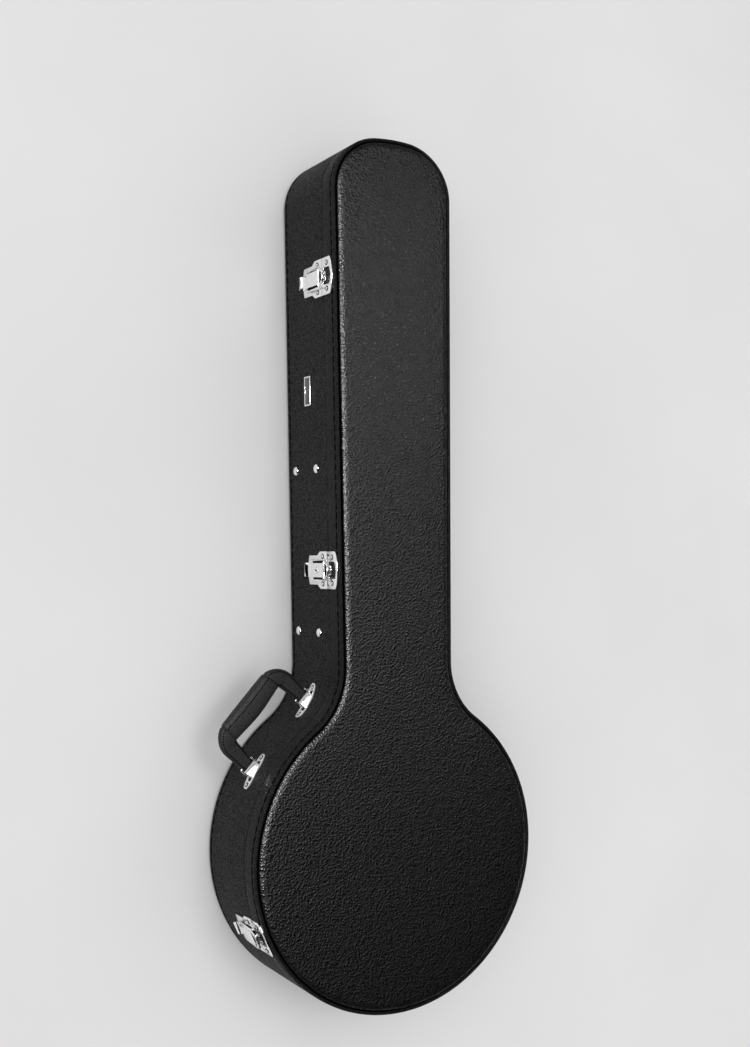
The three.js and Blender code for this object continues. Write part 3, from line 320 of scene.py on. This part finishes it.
# ---- Stitching
# Waxed thread in single long stitches, sunk into the vinyl. The same tool sews the two bands and the
# handle: a stitch every pitch along a path, laid on its surface.
thread, add, surface = shader("waxed_thread", Specular_IOR_Level=0.0)
twist = add("TexWave", {"bands_direction": "DIAGONAL"}, Vector=add("TexCoord", out="Object"),
            Scale=900.0, Distortion=1.0)
surface(Base_Color=ramp(add, twist, (0.2, 0.0005), (0.8, 0.003)), Roughness=0.9,
        Normal=add("Bump", Height=twist, Strength=0.6, Distance=0.0001))


def nodes_tree(name, inputs):
    """A Geometry Nodes tree with these named inputs, and a function that adds and links its nodes."""
    tree = bpy.data.node_groups.new(name, "GeometryNodeTree")
    tree.interface.new_socket("Geometry", in_out="INPUT", socket_type="NodeSocketGeometry")
    for label, kind in inputs:
        tree.interface.new_socket(label, in_out="INPUT", socket_type="NodeSocket" + kind)
    tree.interface.new_socket("Geometry", in_out="OUTPUT", socket_type="NodeSocketGeometry")
    start = tree.nodes.new("NodeGroupInput").outputs
    end = tree.nodes.new("NodeGroupOutput").inputs[0]

    def add(kind, settings=(), out=0, **values):
        node = tree.nodes.new(kind)
        for key, value in dict(settings).items():
            setattr(node, key, value)
        for key, value in values.items():
            socket = node.inputs[int(key[1:])] if key[0] == "_" else node.inputs[key.replace("_", " ")]
            if isinstance(value, bpy.types.NodeSocket):
                tree.links.new(value, socket)
            else:
                socket.default_value = value
        return node.outputs[out]

    return tree, add, start, lambda socket: tree.links.new(socket, end)


stitch_tree, add, given, result = nodes_tree("stitch_row", [
    ("Pitch", "Float"), ("Size", "Vector"), ("Thread", "Material")])
path = add("GeometryNodeMeshToCurve", Mesh=given["Geometry"])
spaced = add("GeometryNodeResampleCurve", {"mode": "LENGTH"}, Curve=path, Length=given["Pitch"])
bead = add("GeometryNodeMeshUVSphere", Segments=8, Rings=6, Radius=1.0)
facing = add("GeometryNodeInputNamedAttribute", {"data_type": "FLOAT_VECTOR"}, Name="out")
level = add("FunctionNodeAlignRotationToVector", {"axis": "X"}, Vector=add("GeometryNodeInputTangent"))
level = add("FunctionNodeAlignRotationToVector", {"axis": "Z", "pivot_axis": "X"}, Rotation=level,
            Vector=facing)
sewn = add("GeometryNodeInstanceOnPoints", Points=spaced, Instance=bead, Rotation=level,
           Scale=given["Size"])
sewn = add("GeometryNodeRealizeInstances", Geometry=sewn)
result(add("GeometryNodeSetMaterial", Geometry=sewn, Material=given["Thread"]))


def path_object(name, lines):
    """Edges along several lines; each line is (points, outward directions, whether it closes)."""
    mesh = bpy.data.meshes.new(name)
    points, edges, outs = [], [], []
    for line, facing, closed in lines:
        first = len(points)
        points += [tuple(p) for p in line]
        outs += [tuple(p) for p in facing]
        edges += [(first + i, first + i + 1) for i in range(len(line) - 1)]
        if closed:
            edges.append((len(points) - 1, first))
    mesh.from_pydata(points, edges, [])
    attribute = mesh.attributes.new("out", "FLOAT_VECTOR", "POINT")
    attribute.data.foreach_set("vector", np.array(outs, np.float32).ravel())
    return put(name, mesh)


def grown(name, source, tree, **inputs):
    """Runs a tree on an object, and turns what it makes into a plain mesh piece."""
    modifier = source.modifiers.new("nodes", "NODES")
    modifier.node_group = tree
    for item in tree.interface.items_tree:
        if item.in_out == "INPUT" and item.name in inputs:
            modifier[item.identifier] = inputs[item.name]
    bpy.context.view_layer.update()
    mesh = bpy.data.meshes.new_from_object(source.evaluated_get(bpy.context.evaluated_depsgraph_get()))
    mesh.name = name
    bpy.data.objects.remove(source)
    mesh.shade_smooth()
    return put(name, mesh)


def round_the_case(inset, height, fine=5):
    """A closed line round the case and the directions that point out of its wall."""
    flat = outline(inset, fine)
    tangent = np.roll(flat, -1, 0) - np.roll(flat, 1, 0)
    out = np.column_stack((tangent[:, 1], -tangent[:, 0], np.zeros(len(flat))))
    return np.column_stack((flat, np.full(len(flat), height))), out, True


for name, body, height in (("base_stitches", "base", low_lip + stitch_inset),
                           ("lid_stitches", "lid", high_lip - stitch_inset)):
    row = path_object(name + "_path", [round_the_case(0.0004, height)])
    dress(grown(name, row, stitch_tree, Pitch=0.0115, Size=(0.0043, 0.0018, 0.0005), Thread=thread),
          body, thread, "side_vinyl")

# ---- Face pads
# Thin foam on the plywood panels under tightly drawn black vinyl with a bold pebble. The edge rolls
# down into the groove inside the lip, over a tucked edge coloured near-black as painted shade for the
# groove, and the face is slightly crowned.
case_height, panel_depth = 0.139, 0.005
roll_start, roll_width, roll_drop, crown_drop, crown_width = 0.0058, 0.0085, 0.0036, 0.0006, 0.045
face_vinyl = vinyl("face_vinyl", (0.0004, 0.0004, 0.0003), (0.0052, 0.0050, 0.0046), 360.0, 0.0004, 0.2, 0.7,
                   domed=True)


def pad_profile(face, back):
    """From the pad's back over its rolled edge to the middle of its face."""
    side = 1 if back > face else -1
    roll = [(roll_start + roll_width * (1 - math.cos(t)),
             face + side * (crown_drop + roll_drop * (1 - math.sin(t))))
            for t in np.linspace(0, math.pi / 2, 10)]
    crown = [(roll_start + roll_width + crown_width * t, face + side * crown_drop * (1 - t) ** 2)
             for t in (0.08, 0.2, 0.4, 0.65, 1.0)]
    return [(roll_start + 0.0005, back), (roll_start, back - side * 0.0004)] + roll + crown


for body, node, face, back in (("base", "base_bottom_pad", 0, panel_depth),
                               ("lid", "lid_top_pad", case_height, case_height - panel_depth)):
    pad = sweep(body + "_face_pad", pad_profile(face, back), closed=False)
    dress(pad, body, face_vinyl, "face_vinyl", node)
# Painted shade: the tucked edge in the groove is coloured near-black to stand for the groove's shadow.
tuck, add, surface = shader("tucked_edge_painted_shade", Specular_IOR_Level=0.0)
threads = add("TexNoise", Vector=add("TexCoord", out="Object"), Scale=900.0, Detail=3.0)
surface(Base_Color=ramp(add, threads, (0.3, 0.0004), (0.7, 0.0016)), Roughness=0.9,
        Normal=add("Bump", Height=threads, Strength=0.5, Distance=0.0001))
tuck_outside, tuck_inside = 0.0034, 0.0066
for body, low, high in (("base", 0.0049, 0.0053), ("lid", 0.1337, 0.1341)):
    strip = [(tuck_outside, low), (tuck_outside, high), (tuck_inside, high), (tuck_inside, low)]
    dress(sweep(body + "_pad_tuck", strip), body, tuck, "face_vinyl")

# ---- Plywood shells
# Bent birch ply rims and panels, plain inside the linings, with a thin painted valance that lines the
# lid up with the base. Only their edges show when the lid is open.
nodes = frame["nodes"]


def softened(node, name, material, slot, width, segments=2, angle=30, stands_for=()):
    """A CAD node's shape with its edges rounded, as a piece that stands for it."""
    body = bmesh.new()
    body.from_mesh(nodes[node].data)
    bmesh.ops.remove_doubles(body, verts=body.verts, dist=0.000004)
    bmesh.ops.dissolve_limit(body, angle_limit=math.radians(0.8), verts=body.verts, edges=body.edges)
    mesh = bpy.data.meshes.new(name)
    body.to_mesh(mesh)
    body.free()
    piece = put(name, mesh)
    bevel = piece.modifiers.new("edges", "BEVEL")
    bevel.width = width
    bevel.segments = segments
    bevel.limit_method = "ANGLE"
    bevel.angle_limit = math.radians(angle)
    bpy.context.view_layer.update()
    rounded = bpy.data.meshes.new_from_object(piece.evaluated_get(bpy.context.evaluated_depsgraph_get()))
    piece.modifiers.clear()
    piece.data = rounded
    rounded.name = name
    rounded.shade_smooth()
    rounded.set_sharp_from_angle(angle=math.radians(angle + 8))
    return dress(piece, nodes[node]["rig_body"], material, slot, node, *stands_for)


def repaint(material, *names):
    """A CAD node keeps its shape and gets a better material."""
    for node in names:
        nodes[node].data.materials.clear()
        nodes[node].data.materials.append(material)


birch, add, surface = shader("birch_ply", Roughness=0.6)
place = add("Mapping", Vector=add("TexCoord", out="Object"), Scale=(1.0, 0.08, 1.0))
figure = add("TexNoise", Vector=place, Scale=90.0, Detail=6.0, Distortion=0.6)
plies = add("TexWave", {"bands_direction": "Z"}, Vector=add("TexCoord", out="Object"), Scale=160.0,
            Distortion=0.4)
both = add("Math", {"operation": "MULTIPLY_ADD"}, _0=plies, _1=0.25, _2=figure)
surface(Base_Color=ramp(add, both, (0.25, (0.33, 0.19, 0.085)), (0.8, (0.56, 0.39, 0.22))),
        Normal=add("Bump", Height=both, Strength=0.4, Distance=0.0002))
repaint(birch, "base_wall", "lid_wall", "base_panel", "lid_panel")

valance_paint, add, surface = shader("valance_paint", Specular_IOR_Level=0.4)
strokes = add("TexNoise", Vector=add("TexCoord", out="Object"), Scale=240.0, Detail=4.0)
surface(Base_Color=ramp(add, strokes, (0.3, (0.012, 0.012, 0.012)), (0.7, (0.022, 0.021, 0.02))),
        Roughness=ramp(add, strokes, (0.3, 0.4), (0.7, 0.6)),
        Normal=add("Bump", Height=strokes, Strength=0.3, Distance=0.0001))
valance_edges = eased([(0.0069, 0.090), (0.0069, 0.115), (0.0089, 0.115), (0.0089, 0.090)], 0.0007)
dress(sweep("base_valance_rim", valance_edges), "base", valance_paint, "plywood", "base_valance")
softened("compartment_ledge", "compartment_ledge_strip", birch, "plywood", 0.0006)

# ---- Plush lining
# Short wine-red pile on thin foam, glued to floor, lid and walls and wrapped round the neck cradles
# and the compartment lid. Its edges are turned under, so every edge is soft and round.
plush, add, surface = shader("plush", Roughness=0.95, Specular_IOR_Level=0.1, Sheen_Weight=0.7,
                             Sheen_Roughness=0.35, Sheen_Tint=(0.75, 0.2, 0.28, 1))
place = add("TexCoord", out="Object")
pile = add("TexNoise", Vector=place, Scale=1500.0, Detail=2.0)
brushed = add("TexNoise", Vector=place, Scale=26.0, Detail=4.0, Distortion=0.8)
tone = add("Math", {"operation": "MULTIPLY_ADD"}, _0=pile, _1=0.5, _2=brushed)
surface(Base_Color=ramp(add, tone, (0.45, (0.045, 0.004, 0.012)), (1.0, (0.17, 0.022, 0.045))),
        Normal=add("Bump", Height=tone, Strength=0.7, Distance=0.0005))


def cushion_profile(low, high, inset):
    """A thin foam pad with a rounded edge and a slightly crowned face at `high`."""
    rise = high - low
    roll = [(inset + 0.0022 * (1 - math.cos(t)), low + rise * (0.35 + 0.55 * math.sin(t)))
            for t in np.linspace(0, math.pi / 2, 5)]
    crown = [(inset + 0.0022 + 0.04 * t, high - rise * 0.1 * (1 - t) ** 2) for t in (0.15, 0.4, 0.7, 1.0)]
    return [(inset + 0.0005, low)] + roll + crown


floor_pad = sweep("floor_cushion", cushion_profile(0.0106, 0.0156, 0.0066), closed=False, fine=4)
lid_pad = sweep("lid_cushion", cushion_profile(0.1284, 0.1234, 0.0066), closed=False, fine=4)
dress(floor_pad, "base", plush, "plush", "base_floor_lining")
dress(lid_pad, "lid", plush, "plush", "lid_top_lining")
wall_lining = eased([(0.0066, 0.0159), (0.0066, 0.0897), (0.0092, 0.0897), (0.0092, 0.115),
                     (0.0122, 0.115), (0.0122, 0.0159)], 0.0014)
lid_lining = eased([(0.0066, 0.1156), (0.0066, 0.1231), (0.0096, 0.1231), (0.0096, 0.1156)], 0.0013)
walls = dress(sweep("base_wall_plush", wall_lining, fine=4), "base", plush, "plush", "base_wall_lining")
lid_walls = dress(sweep("lid_wall_plush", lid_lining, fine=4), "lid", plush, "plush", "lid_wall_lining")
for node in ("neck_cradle_lower", "neck_cradle_upper"):
    softened(node, node + "_plush", plush, "plush", 0.0022, 4, 25)
softened("compartment_lid", "compartment_lid_plush", plush, "plush", 0.0018, 3, 25)

# ---- Compartment fittings
# A drawn steel rod that the compartment lid turns on, held in the two cradles, and a tab of black
# grosgrain ribbon, glued under the lid's edge, to lift it by.
steel, add, surface = shader("drawn_steel", Metallic=1.0)
place = add("Mapping", Vector=add("TexCoord", out="Object"), Scale=(1.0, 0.05, 1.0))
drawn = add("TexNoise", Vector=place, Scale=1800.0, Detail=3.0)
surface(Base_Color=ramp(add, drawn, (0.3, 0.38), (0.7, 0.55)),
        Roughness=ramp(add, drawn, (0.2, 0.22), (0.8, 0.42)),
        Normal=add("Bump", Height=drawn, Strength=0.2, Distance=0.00005))
grosgrain, add, surface = shader("grosgrain", Roughness=0.75, Specular_IOR_Level=0.25)
place = add("TexCoord", out="Object")
ribs = add("TexWave", {"bands_direction": "X"}, Vector=place, Scale=320.0, Distortion=0.3)
weave = add("TexWave", {"bands_direction": "Y"}, Vector=place, Scale=900.0, Distortion=0.6)
cloth = add("Math", {"operation": "MULTIPLY_ADD"}, _0=weave, _1=0.3, _2=ribs)
surface(Base_Color=ramp(add, cloth, (0.1, 0.004), (1.0, 0.022)),
        Normal=add("Bump", Height=cloth, Strength=0.8, Distance=0.0003))
softened("compartment_pull", "compartment_ribbon", grosgrain, "ribbon", 0.0003)
softened("compartment_hinge_rod", "compartment_rod", steel, "steel", 0.0003)

# ---- Latches
# Stamped and chrome-plated steel draw latches, riveted through the ply: a plate with two ears, a
# lever on a pin between them, a wire bail that the lever draws down, and a keeper with a hook.
chrome, add, surface = shader("bright_chrome", Metallic=1.0)
place = add("TexCoord", out="Object")
ripple = add("TexNoise", Vector=place, Scale=260.0, Detail=2.0)
scuff = add("TexNoise", Vector=place, Scale=2600.0, Detail=4.0)
surface(Base_Color=ramp(add, ripple, (0.3, (0.95, 0.95, 0.955)), (0.7, (0.99, 0.99, 0.995))),
        Roughness=ramp(add, scuff, (0.35, 0.05), (0.75, 0.16)),
        Normal=add("Bump", Height=ripple, Strength=0.08, Distance=0.0003))

for latch in ("head", "neck", "bowl"):
    softened(f"latch_{latch}_plate", f"latch_{latch}_base_plate", chrome, "chrome", 0.00035)
    softened(f"latch_{latch}_keeper", f"latch_{latch}_hook_plate", chrome, "chrome", 0.00035)
    softened(f"latch_{latch}_lever", f"latch_{latch}_thumb_lever", chrome, "chrome", 0.0005, 3)
    softened(f"latch_{latch}_bail", f"latch_{latch}_wire", chrome, "chrome", 0.0002, 1, 50)
    softened(f"latch_{latch}_pin", f"latch_{latch}_axle", steel, "steel", 0.0002)
softened("lock_cylinder", "key_barrel", chrome, "chrome", 0.0002)


def upright(origin, outward):
    """The frame of a fitting on the wall: X out of the wall, Y along it, Z up."""
    out = Vector(outward).normalized()
    across = Vector((0, 0, 1)).cross(out)
    return Matrix.Translation(origin) @ Matrix((out, across, (0, 0, 1))).transposed().to_4x4()


# ---- Studs
# Domed steel nails, chrome plated, with a thin flat rim. They are driven through the vinyl and the
# ply wall into the ends of the neck cradles, two at each end.
lathe_tree, add, given, result = nodes_tree("turned_heads", [
    ("Head", "Object"), ("Finish", "Material")])
facing = add("GeometryNodeInputNamedAttribute", {"data_type": "FLOAT_VECTOR"}, Name="out")
turned = add("FunctionNodeAlignRotationToVector", {"axis": "Z"}, Vector=facing)
shape = add("GeometryNodeObjectInfo", out="Geometry", Object=given["Head"])
heads = add("GeometryNodeInstanceOnPoints", Points=given["Geometry"], Instance=shape, Rotation=turned)
heads = add("GeometryNodeRealizeInstances", Geometry=heads)
result(add("GeometryNodeSetMaterial", Geometry=heads, Material=given["Finish"]))


def loft(name, rings, closed=False):
    """A skin over rings of points."""
    sides = len(rings[0])
    faces = []
    for i in range(len(rings) if closed else len(rings) - 1):
        j = (i + 1) % len(rings)
        for k in range(sides):
            n = (k + 1) % sides
            faces.append((i * sides + k, i * sides + n, j * sides + n, j * sides + k))
    if not closed:
        faces.append(tuple(range(sides)))
        faces.append(tuple((len(rings) - 1) * sides + k for k in range(sides)))
    return quads_mesh(name, [p for ring in rings for p in ring], faces)


def turned_head(name, profile, sides=28):
    """A small turned shape round Z from a list of (radius, height)."""
    turns = np.arange(sides) * 2 * math.pi / sides
    rings = [[(r * math.cos(t), r * math.sin(t), h) for t in turns] for r, h in profile]
    return put(name, face_outwards(loft(name, rings), 50))


def heads_at(name, head, spots, body, finish, slot, *stands_for):
    """The same turned head at several spots, each (point, outward direction)."""
    points = path_object(name + "_spots", [([p], [n], False) for p, n in spots])
    piece = grown(name, points, lathe_tree, Head=head, Finish=finish)
    piece.data.set_sharp_from_angle(angle=math.radians(50))
    bpy.data.objects.remove(head)
    return dress(piece, body, finish, slot, *stands_for)


def latch_places():
    """The place of each latch and of its wall's outward normal, and the wall's curve."""
    for y in (0.68592, 0.33748):
        yield upright((-side_x(y), y, parting), (-side_normal[0], side_normal[1], 0)), 0.0
    turn = math.radians(-155.4)
    out = (math.cos(turn), math.sin(turn), 0)
    yield upright([bowl_radius * v for v in out[:2]] + [parting], out), 1 / bowl_radius


def side_x(y):
    return (side_distance - side_normal[1] * y) / side_normal[0]


stud_spots = [((side * side_x(y), y, z), (side * side_normal[0], side_normal[1], 0))
              for y in (0.261977, 0.459467) for side in (-1, 1) for z in (0.0265, 0.081)]
dome = [(0.0016, -0.024), (0.0016, 0.0003), (0.0056, 0.0003), (0.0057, 0.0007)] + [
    (0.0054 * math.cos(t), 0.0009 + 0.0024 * math.sin(t)) for t in np.linspace(0.15, 1.5, 8)]
heads_at("cradle_studs", turned_head("stud", dome), stud_spots, "base", chrome, "chrome",
         *[f"cradle_stud_{i}" for i in range(1, 9)])

# ---- Painted shade rings under the rivets, and the keyway
# A thin dark steel ring under each rivet of the latches and the handle's brackets is painted shade: it
# stands for the dark ring of shadow round the chrome head. The keyway on the lock's face is a dark piece of
# the same steel, painted shade for the slot.
shade_steel, add, surface = shader("painted_shade_steel", Metallic=0.6, Specular_IOR_Level=0.2)
worn = add("TexNoise", Vector=add("TexCoord", out="Object"), Scale=1200.0, Detail=3.0)
surface(Base_Color=ramp(add, worn, (0.3, 0.004), (0.8, 0.02)),
        Roughness=ramp(add, worn, (0.3, 0.7), (0.8, 0.45)),
        Normal=add("Bump", Height=worn, Strength=0.3, Distance=0.00005))


def on_fitting(place, curve, y, z, stand):
    """A point that stands off a wall at `y` along it, and the direction out of the curved wall."""
    return place @ Vector((stand - curve * y ** 2 / 2, y, z)), place.to_3x3() @ Vector((1, curve * y, 0))


def washer(radius):
    return turned_head("washer", [(radius, -0.0004), (radius, 0.0002), (radius - 0.0002, 0.0004)])


# Painted shade: a dark ring under each rivet head.
for name, body, z, y in (("plate_washers", "base", -0.0108, 0.0164),
                         ("keeper_washers", "lid", 0.0126, 0.0154)):
    spots = [on_fitting(place, curve, side * y, z, 0.0021)
             for place, curve in latch_places() for side in (-1, 1)]
    heads_at(name, washer(0.0032), spots, body, shade_steel, "chrome")
handle_height, bracket_rivet_reach = 0.072, 0.018
bowl_turn, neck_turn = math.radians(147.4), math.pi + slope - math.radians(31.6)
spots = []
for turn, (x, y), radius in ((bowl_turn, (0, 0), bowl_radius),
                             (neck_turn, (-shoulder[0], shoulder[1]), -shoulder_radius)):
    out = (math.cos(turn), math.sin(turn), 0)
    place = upright((x + radius * out[0], y + radius * out[1], handle_height), out)
    spots += [on_fitting(place, 1 / radius, side * bracket_rivet_reach, 0, 0.0017) for side in (-1, 1)]
heads_at("bracket_washers", washer(0.0029), spots, "base", shade_steel, "chrome")
lock_face = list(latch_places())[1][0]
# Painted shade: a dark piece stands for the shadowed keyway slot.
keyway = loft("keyway", [[Vector((h, y, z - 0.0193)) for y, z in ((-0.0008, -0.0026), (0.0008, -0.0026),
              (0.0011, 0), (0.0008, 0.0026), (-0.0008, 0.0026), (-0.0011, 0))] for h in (0.0058, 0.0072)])
keyway.transform(lock_face)
dress(put("keyway", face_outwards(keyway)), "lock", shade_steel, "chrome")

# ---- Badge plate
# A small chrome rim with a dark enamelled inlay, which is left bare. It is pinned to the wall
# between the head latch and the studs.
enamel, add, surface = shader("dark_enamel", Roughness=0.3, Coat_Weight=0.4, Coat_Roughness=0.1)
fleck = add("TexNoise", Vector=add("TexCoord", out="Object"), Scale=700.0, Detail=3.0)
surface(Base_Color=ramp(add, fleck, (0.3, 0.035), (0.7, 0.06)),
        Normal=add("Bump", Height=fleck, Strength=0.1, Distance=0.0001))
softened("badge_frame", "badge_rim", chrome, "chrome", 0.0005, 3)
softened("badge_inlay", "badge_face", enamel, "badge_enamel", 0.0002)

# ---- Handle
# A steel strap inside black stitched leather: a padded grip between two flat legs, hung on two
# chrome wire rings that turn under the bridges of oval plates.
handle_place = upright((-0.128009, 0.144031, 0.072), (-0.730969, 0.682411, 0))
leather, add, surface = shader("handle_leather", Specular_IOR_Level=0.35)
place = add("TexCoord", out="Object")
creases = add("TexVoronoi", {"feature": "DISTANCE_TO_EDGE"}, Vector=place, Scale=700.0)
mottle = add("TexNoise", Vector=place, Scale=420.0, Detail=4.0, Distortion=0.3)
tone = add("Math", {"operation": "MULTIPLY_ADD"}, _0=creases, _1=0.7, _2=mottle)
surface(Base_Color=ramp(add, tone, (0.35, (0.002, 0.0019, 0.0017)), (0.95, (0.030, 0.029, 0.027))),
        Roughness=ramp(add, tone, (0.3, 0.8), (0.9, 0.5)),
        Normal=add("Bump", Height=tone, Strength=0.6, Distance=0.0003))
leg_y, leg_width, grip_inner, grip_reach = 0.052331, 0.019, 0.0385, 0.0635
leg_flare, leg_end_half = 0.0022, 0.0082
outer_round = 0.028
outer_y, outer_x = leg_y + leg_width / 2 - outer_round, grip_reach - outer_round
seam_y = outer_y + 0.22 * outer_round


def leather_section(inner, outer, thickness, sides=32):
    """A flattened oval across the handle, between an inner and an outer point of its plane."""
    middle, half = (np.array(inner) + outer) / 2, (np.array(outer) - inner) / 2
    ring = []
    for t in (np.arange(sides) + 0.5) * 2 * math.pi / sides:
        across, up = (math.copysign(abs(v) ** 0.65, v) for v in (math.cos(t), math.sin(t)))
        ring.append(Vector((*(middle + half * across), thickness / 2 * up)))
    return ring


def placed(name, rings, matrix, closed=False, angle=40):
    mesh = loft(name, rings, closed)
    mesh.transform(matrix)
    return put(name, face_outwards(mesh, angle))


def grip_edges(share):
    """Inner and outer points and the thickness of the grip at a share of its length."""
    y = share * (seam_y - 0.00015)
    swell = (1 - share ** 2) ** 2
    past = max(abs(y) - outer_y, 0)
    tuck = 0.0009 * max(0, (abs(share) - 0.97) / 0.03)
    return ((grip_inner - 0.0025 * swell + tuck, y),
            (outer_x + math.sqrt(outer_round ** 2 - past ** 2) - tuck, y),
            0.014 + 0.004 * math.sqrt(swell) - 2 * tuck)


def leg_edges(share, side):
    """The same for a leg, from its seam at 0 round the corner at 0.5 to its end at 1."""
    seam = seam_y + 0.00015
    first = math.asin((seam - outer_y) / outer_round)
    inner_y = max(leg_y - leg_width / 2 - leg_flare, seam)
    if share < 0.5:
        t = share / 0.5
        turn = first + (math.pi / 2 - first) * t
        tuck = 0.0009 * max(0, (0.04 - t) / 0.04)
        inner = (grip_inner - 0.002 + 0.002 * math.cos(math.pi / 2 * t) + tuck,
                 side * max(seam, inner_y - 0.002 + 0.002 * math.sin(math.pi / 2 * t)))
        rim = outer_round - tuck
        return (inner, (outer_x + rim * math.cos(turn), side * (outer_y + rim * math.sin(turn))),
                0.014 - 0.004 * t - 2 * tuck)
    t = min((share - 0.5) / 0.43, 1)
    last = max((share - 0.93) / 0.07, 0)
    far, near = (grip_inner - 0.002) * (1 - t) + 0.009 * t, outer_x * (1 - t) + 0.009 * t
    thick = (0.010 - 0.003 * t) * (0.3 + 0.7 * math.sqrt(max(1 - last ** 2, 0)))
    outer_side = (leg_y + leg_width / 2) * (1 - t) + (leg_y + leg_end_half) * t
    return ((far - 0.003 * last, side * (inner_y * (1 - t) + (leg_y - leg_end_half) * t)),
            (near - 0.003 * last, side * outer_side), thick)


def handle_rings(edges, shares):
    return [leather_section(*edges(share)) for share in shares]


grip_shares = np.linspace(-1, 1, 49)
dress(placed("grip_leather", handle_rings(grip_edges, grip_shares), handle_place), "handle", leather,
      "handle_leather", "handle_grip")
for label, side in (("upper", -1), ("lower", 1)):
    rings = handle_rings(lambda share: leg_edges(share, side), np.linspace(0, 1, 40))
    dress(placed(f"leg_{label}_leather", rings, handle_place), "handle", leather, "handle_leather",
          f"handle_leg_{label}")
repaint(steel, "handle_core")


def on_leather(edges, share, across, gap=0.0001):
    """A point on the top or bottom face of the leather, `across` from -1 inside to 1 outside."""
    inner, outer, thickness = edges(share)
    middle, half = (np.array(inner) + outer) / 2, (np.array(outer) - inner) / 2
    cosine = math.copysign(abs(across) ** (1 / 0.65), across)
    up = math.sqrt(1 - cosine ** 2) ** 0.65 * thickness / 2 + gap
    return Vector((*(middle + half * across), up))


rows = []
for face in (1, -1):
    flip = Matrix.Diagonal((1, 1, face, 1))
    up = handle_place.to_3x3() @ Vector((0, 0, face))
    lines = [[on_leather(grip_edges, share, 0.5) for share in np.linspace(-0.96, 0.96, 40)]]
    for side in (-1, 1):
        for across in (-0.74, 0.70):
            lines.append([on_leather(lambda s: leg_edges(s, side), share, across)
                          for share in np.linspace(0.03, 0.95, 30)])
    rows += [([handle_place @ (flip @ p) for p in line], [up] * len(line), False) for line in lines]
dress(grown("handle_stitches", path_object("handle_rows", rows), stitch_tree, Pitch=0.0031,
            Size=(0.0013, 0.0009, 0.0004), Thread=thread), "handle", thread, "handle_leather")


def wire(path, binormal, radius, sides=16):
    """Rings of a closed round wire along a path in the plane square to binormal."""
    rings = []
    for i, point in enumerate(path):
        tangent = (path[(i + 1) % len(path)] - path[i - 1]).normalized()
        across = binormal.cross(tangent)
        rings.append([point + radius * (math.cos(t) * across + math.sin(t) * binormal)
                      for t in np.arange(sides) * 2 * math.pi / sides])
    return rings


satin, add, surface = shader("satin_chrome", Metallic=1.0)
brushed = add("TexNoise", Vector=add("TexCoord", out="Object"), Scale=1400.0, Detail=4.0)
surface(Base_Color=ramp(add, brushed, (0.3, 0.93), (0.7, 0.99)),
        Roughness=ramp(add, brushed, (0.3, 0.26), (0.7, 0.36)),
        Normal=add("Bump", Height=brushed, Strength=0.1, Distance=0.0001))
for label, side in (("upper", -1), ("lower", 1)):
    half, bend, far = 0.0099, 0.0016, 0.009
    corners = [((bend, -half + bend), math.pi), ((far - bend, -half + bend), 1.5 * math.pi),
               ((far - bend, half - bend), 0), ((bend, half - bend), math.pi / 2)]
    path = [Vector((x, side * leg_y + y, 0)) for centre, turn in corners
            for x, y in arc(centre, bend, turn, turn + math.pi / 2, 6)]
    ring = placed(f"ring_{label}_wire", wire(path, Vector((0, 0, 1)), 0.0012), handle_place, True, 60)
    dress(ring, "handle", chrome, "chrome", f"handle_ring_{label}")
    softened(f"handle_bracket_{label}", f"bracket_{label}_plate", satin, "chrome", 0.0003)

# ---- Hinges
# Two stamped butt hinges at the bowl's widest point, chrome plated. Their leaves are riveted to the
# base and the lid, and each pair turns on a steel pin.
for label in ("upper", "lower"):
    softened(f"hinge_{label}_base_leaf", f"hinge_{label}_base_plate", chrome, "chrome", 0.0003)
    softened(f"hinge_{label}_lid_leaf", f"hinge_{label}_lid_plate", chrome, "chrome", 0.0003)
    softened(f"hinge_{label}_pin", f"hinge_{label}_axle", steel, "steel", 0.0003)
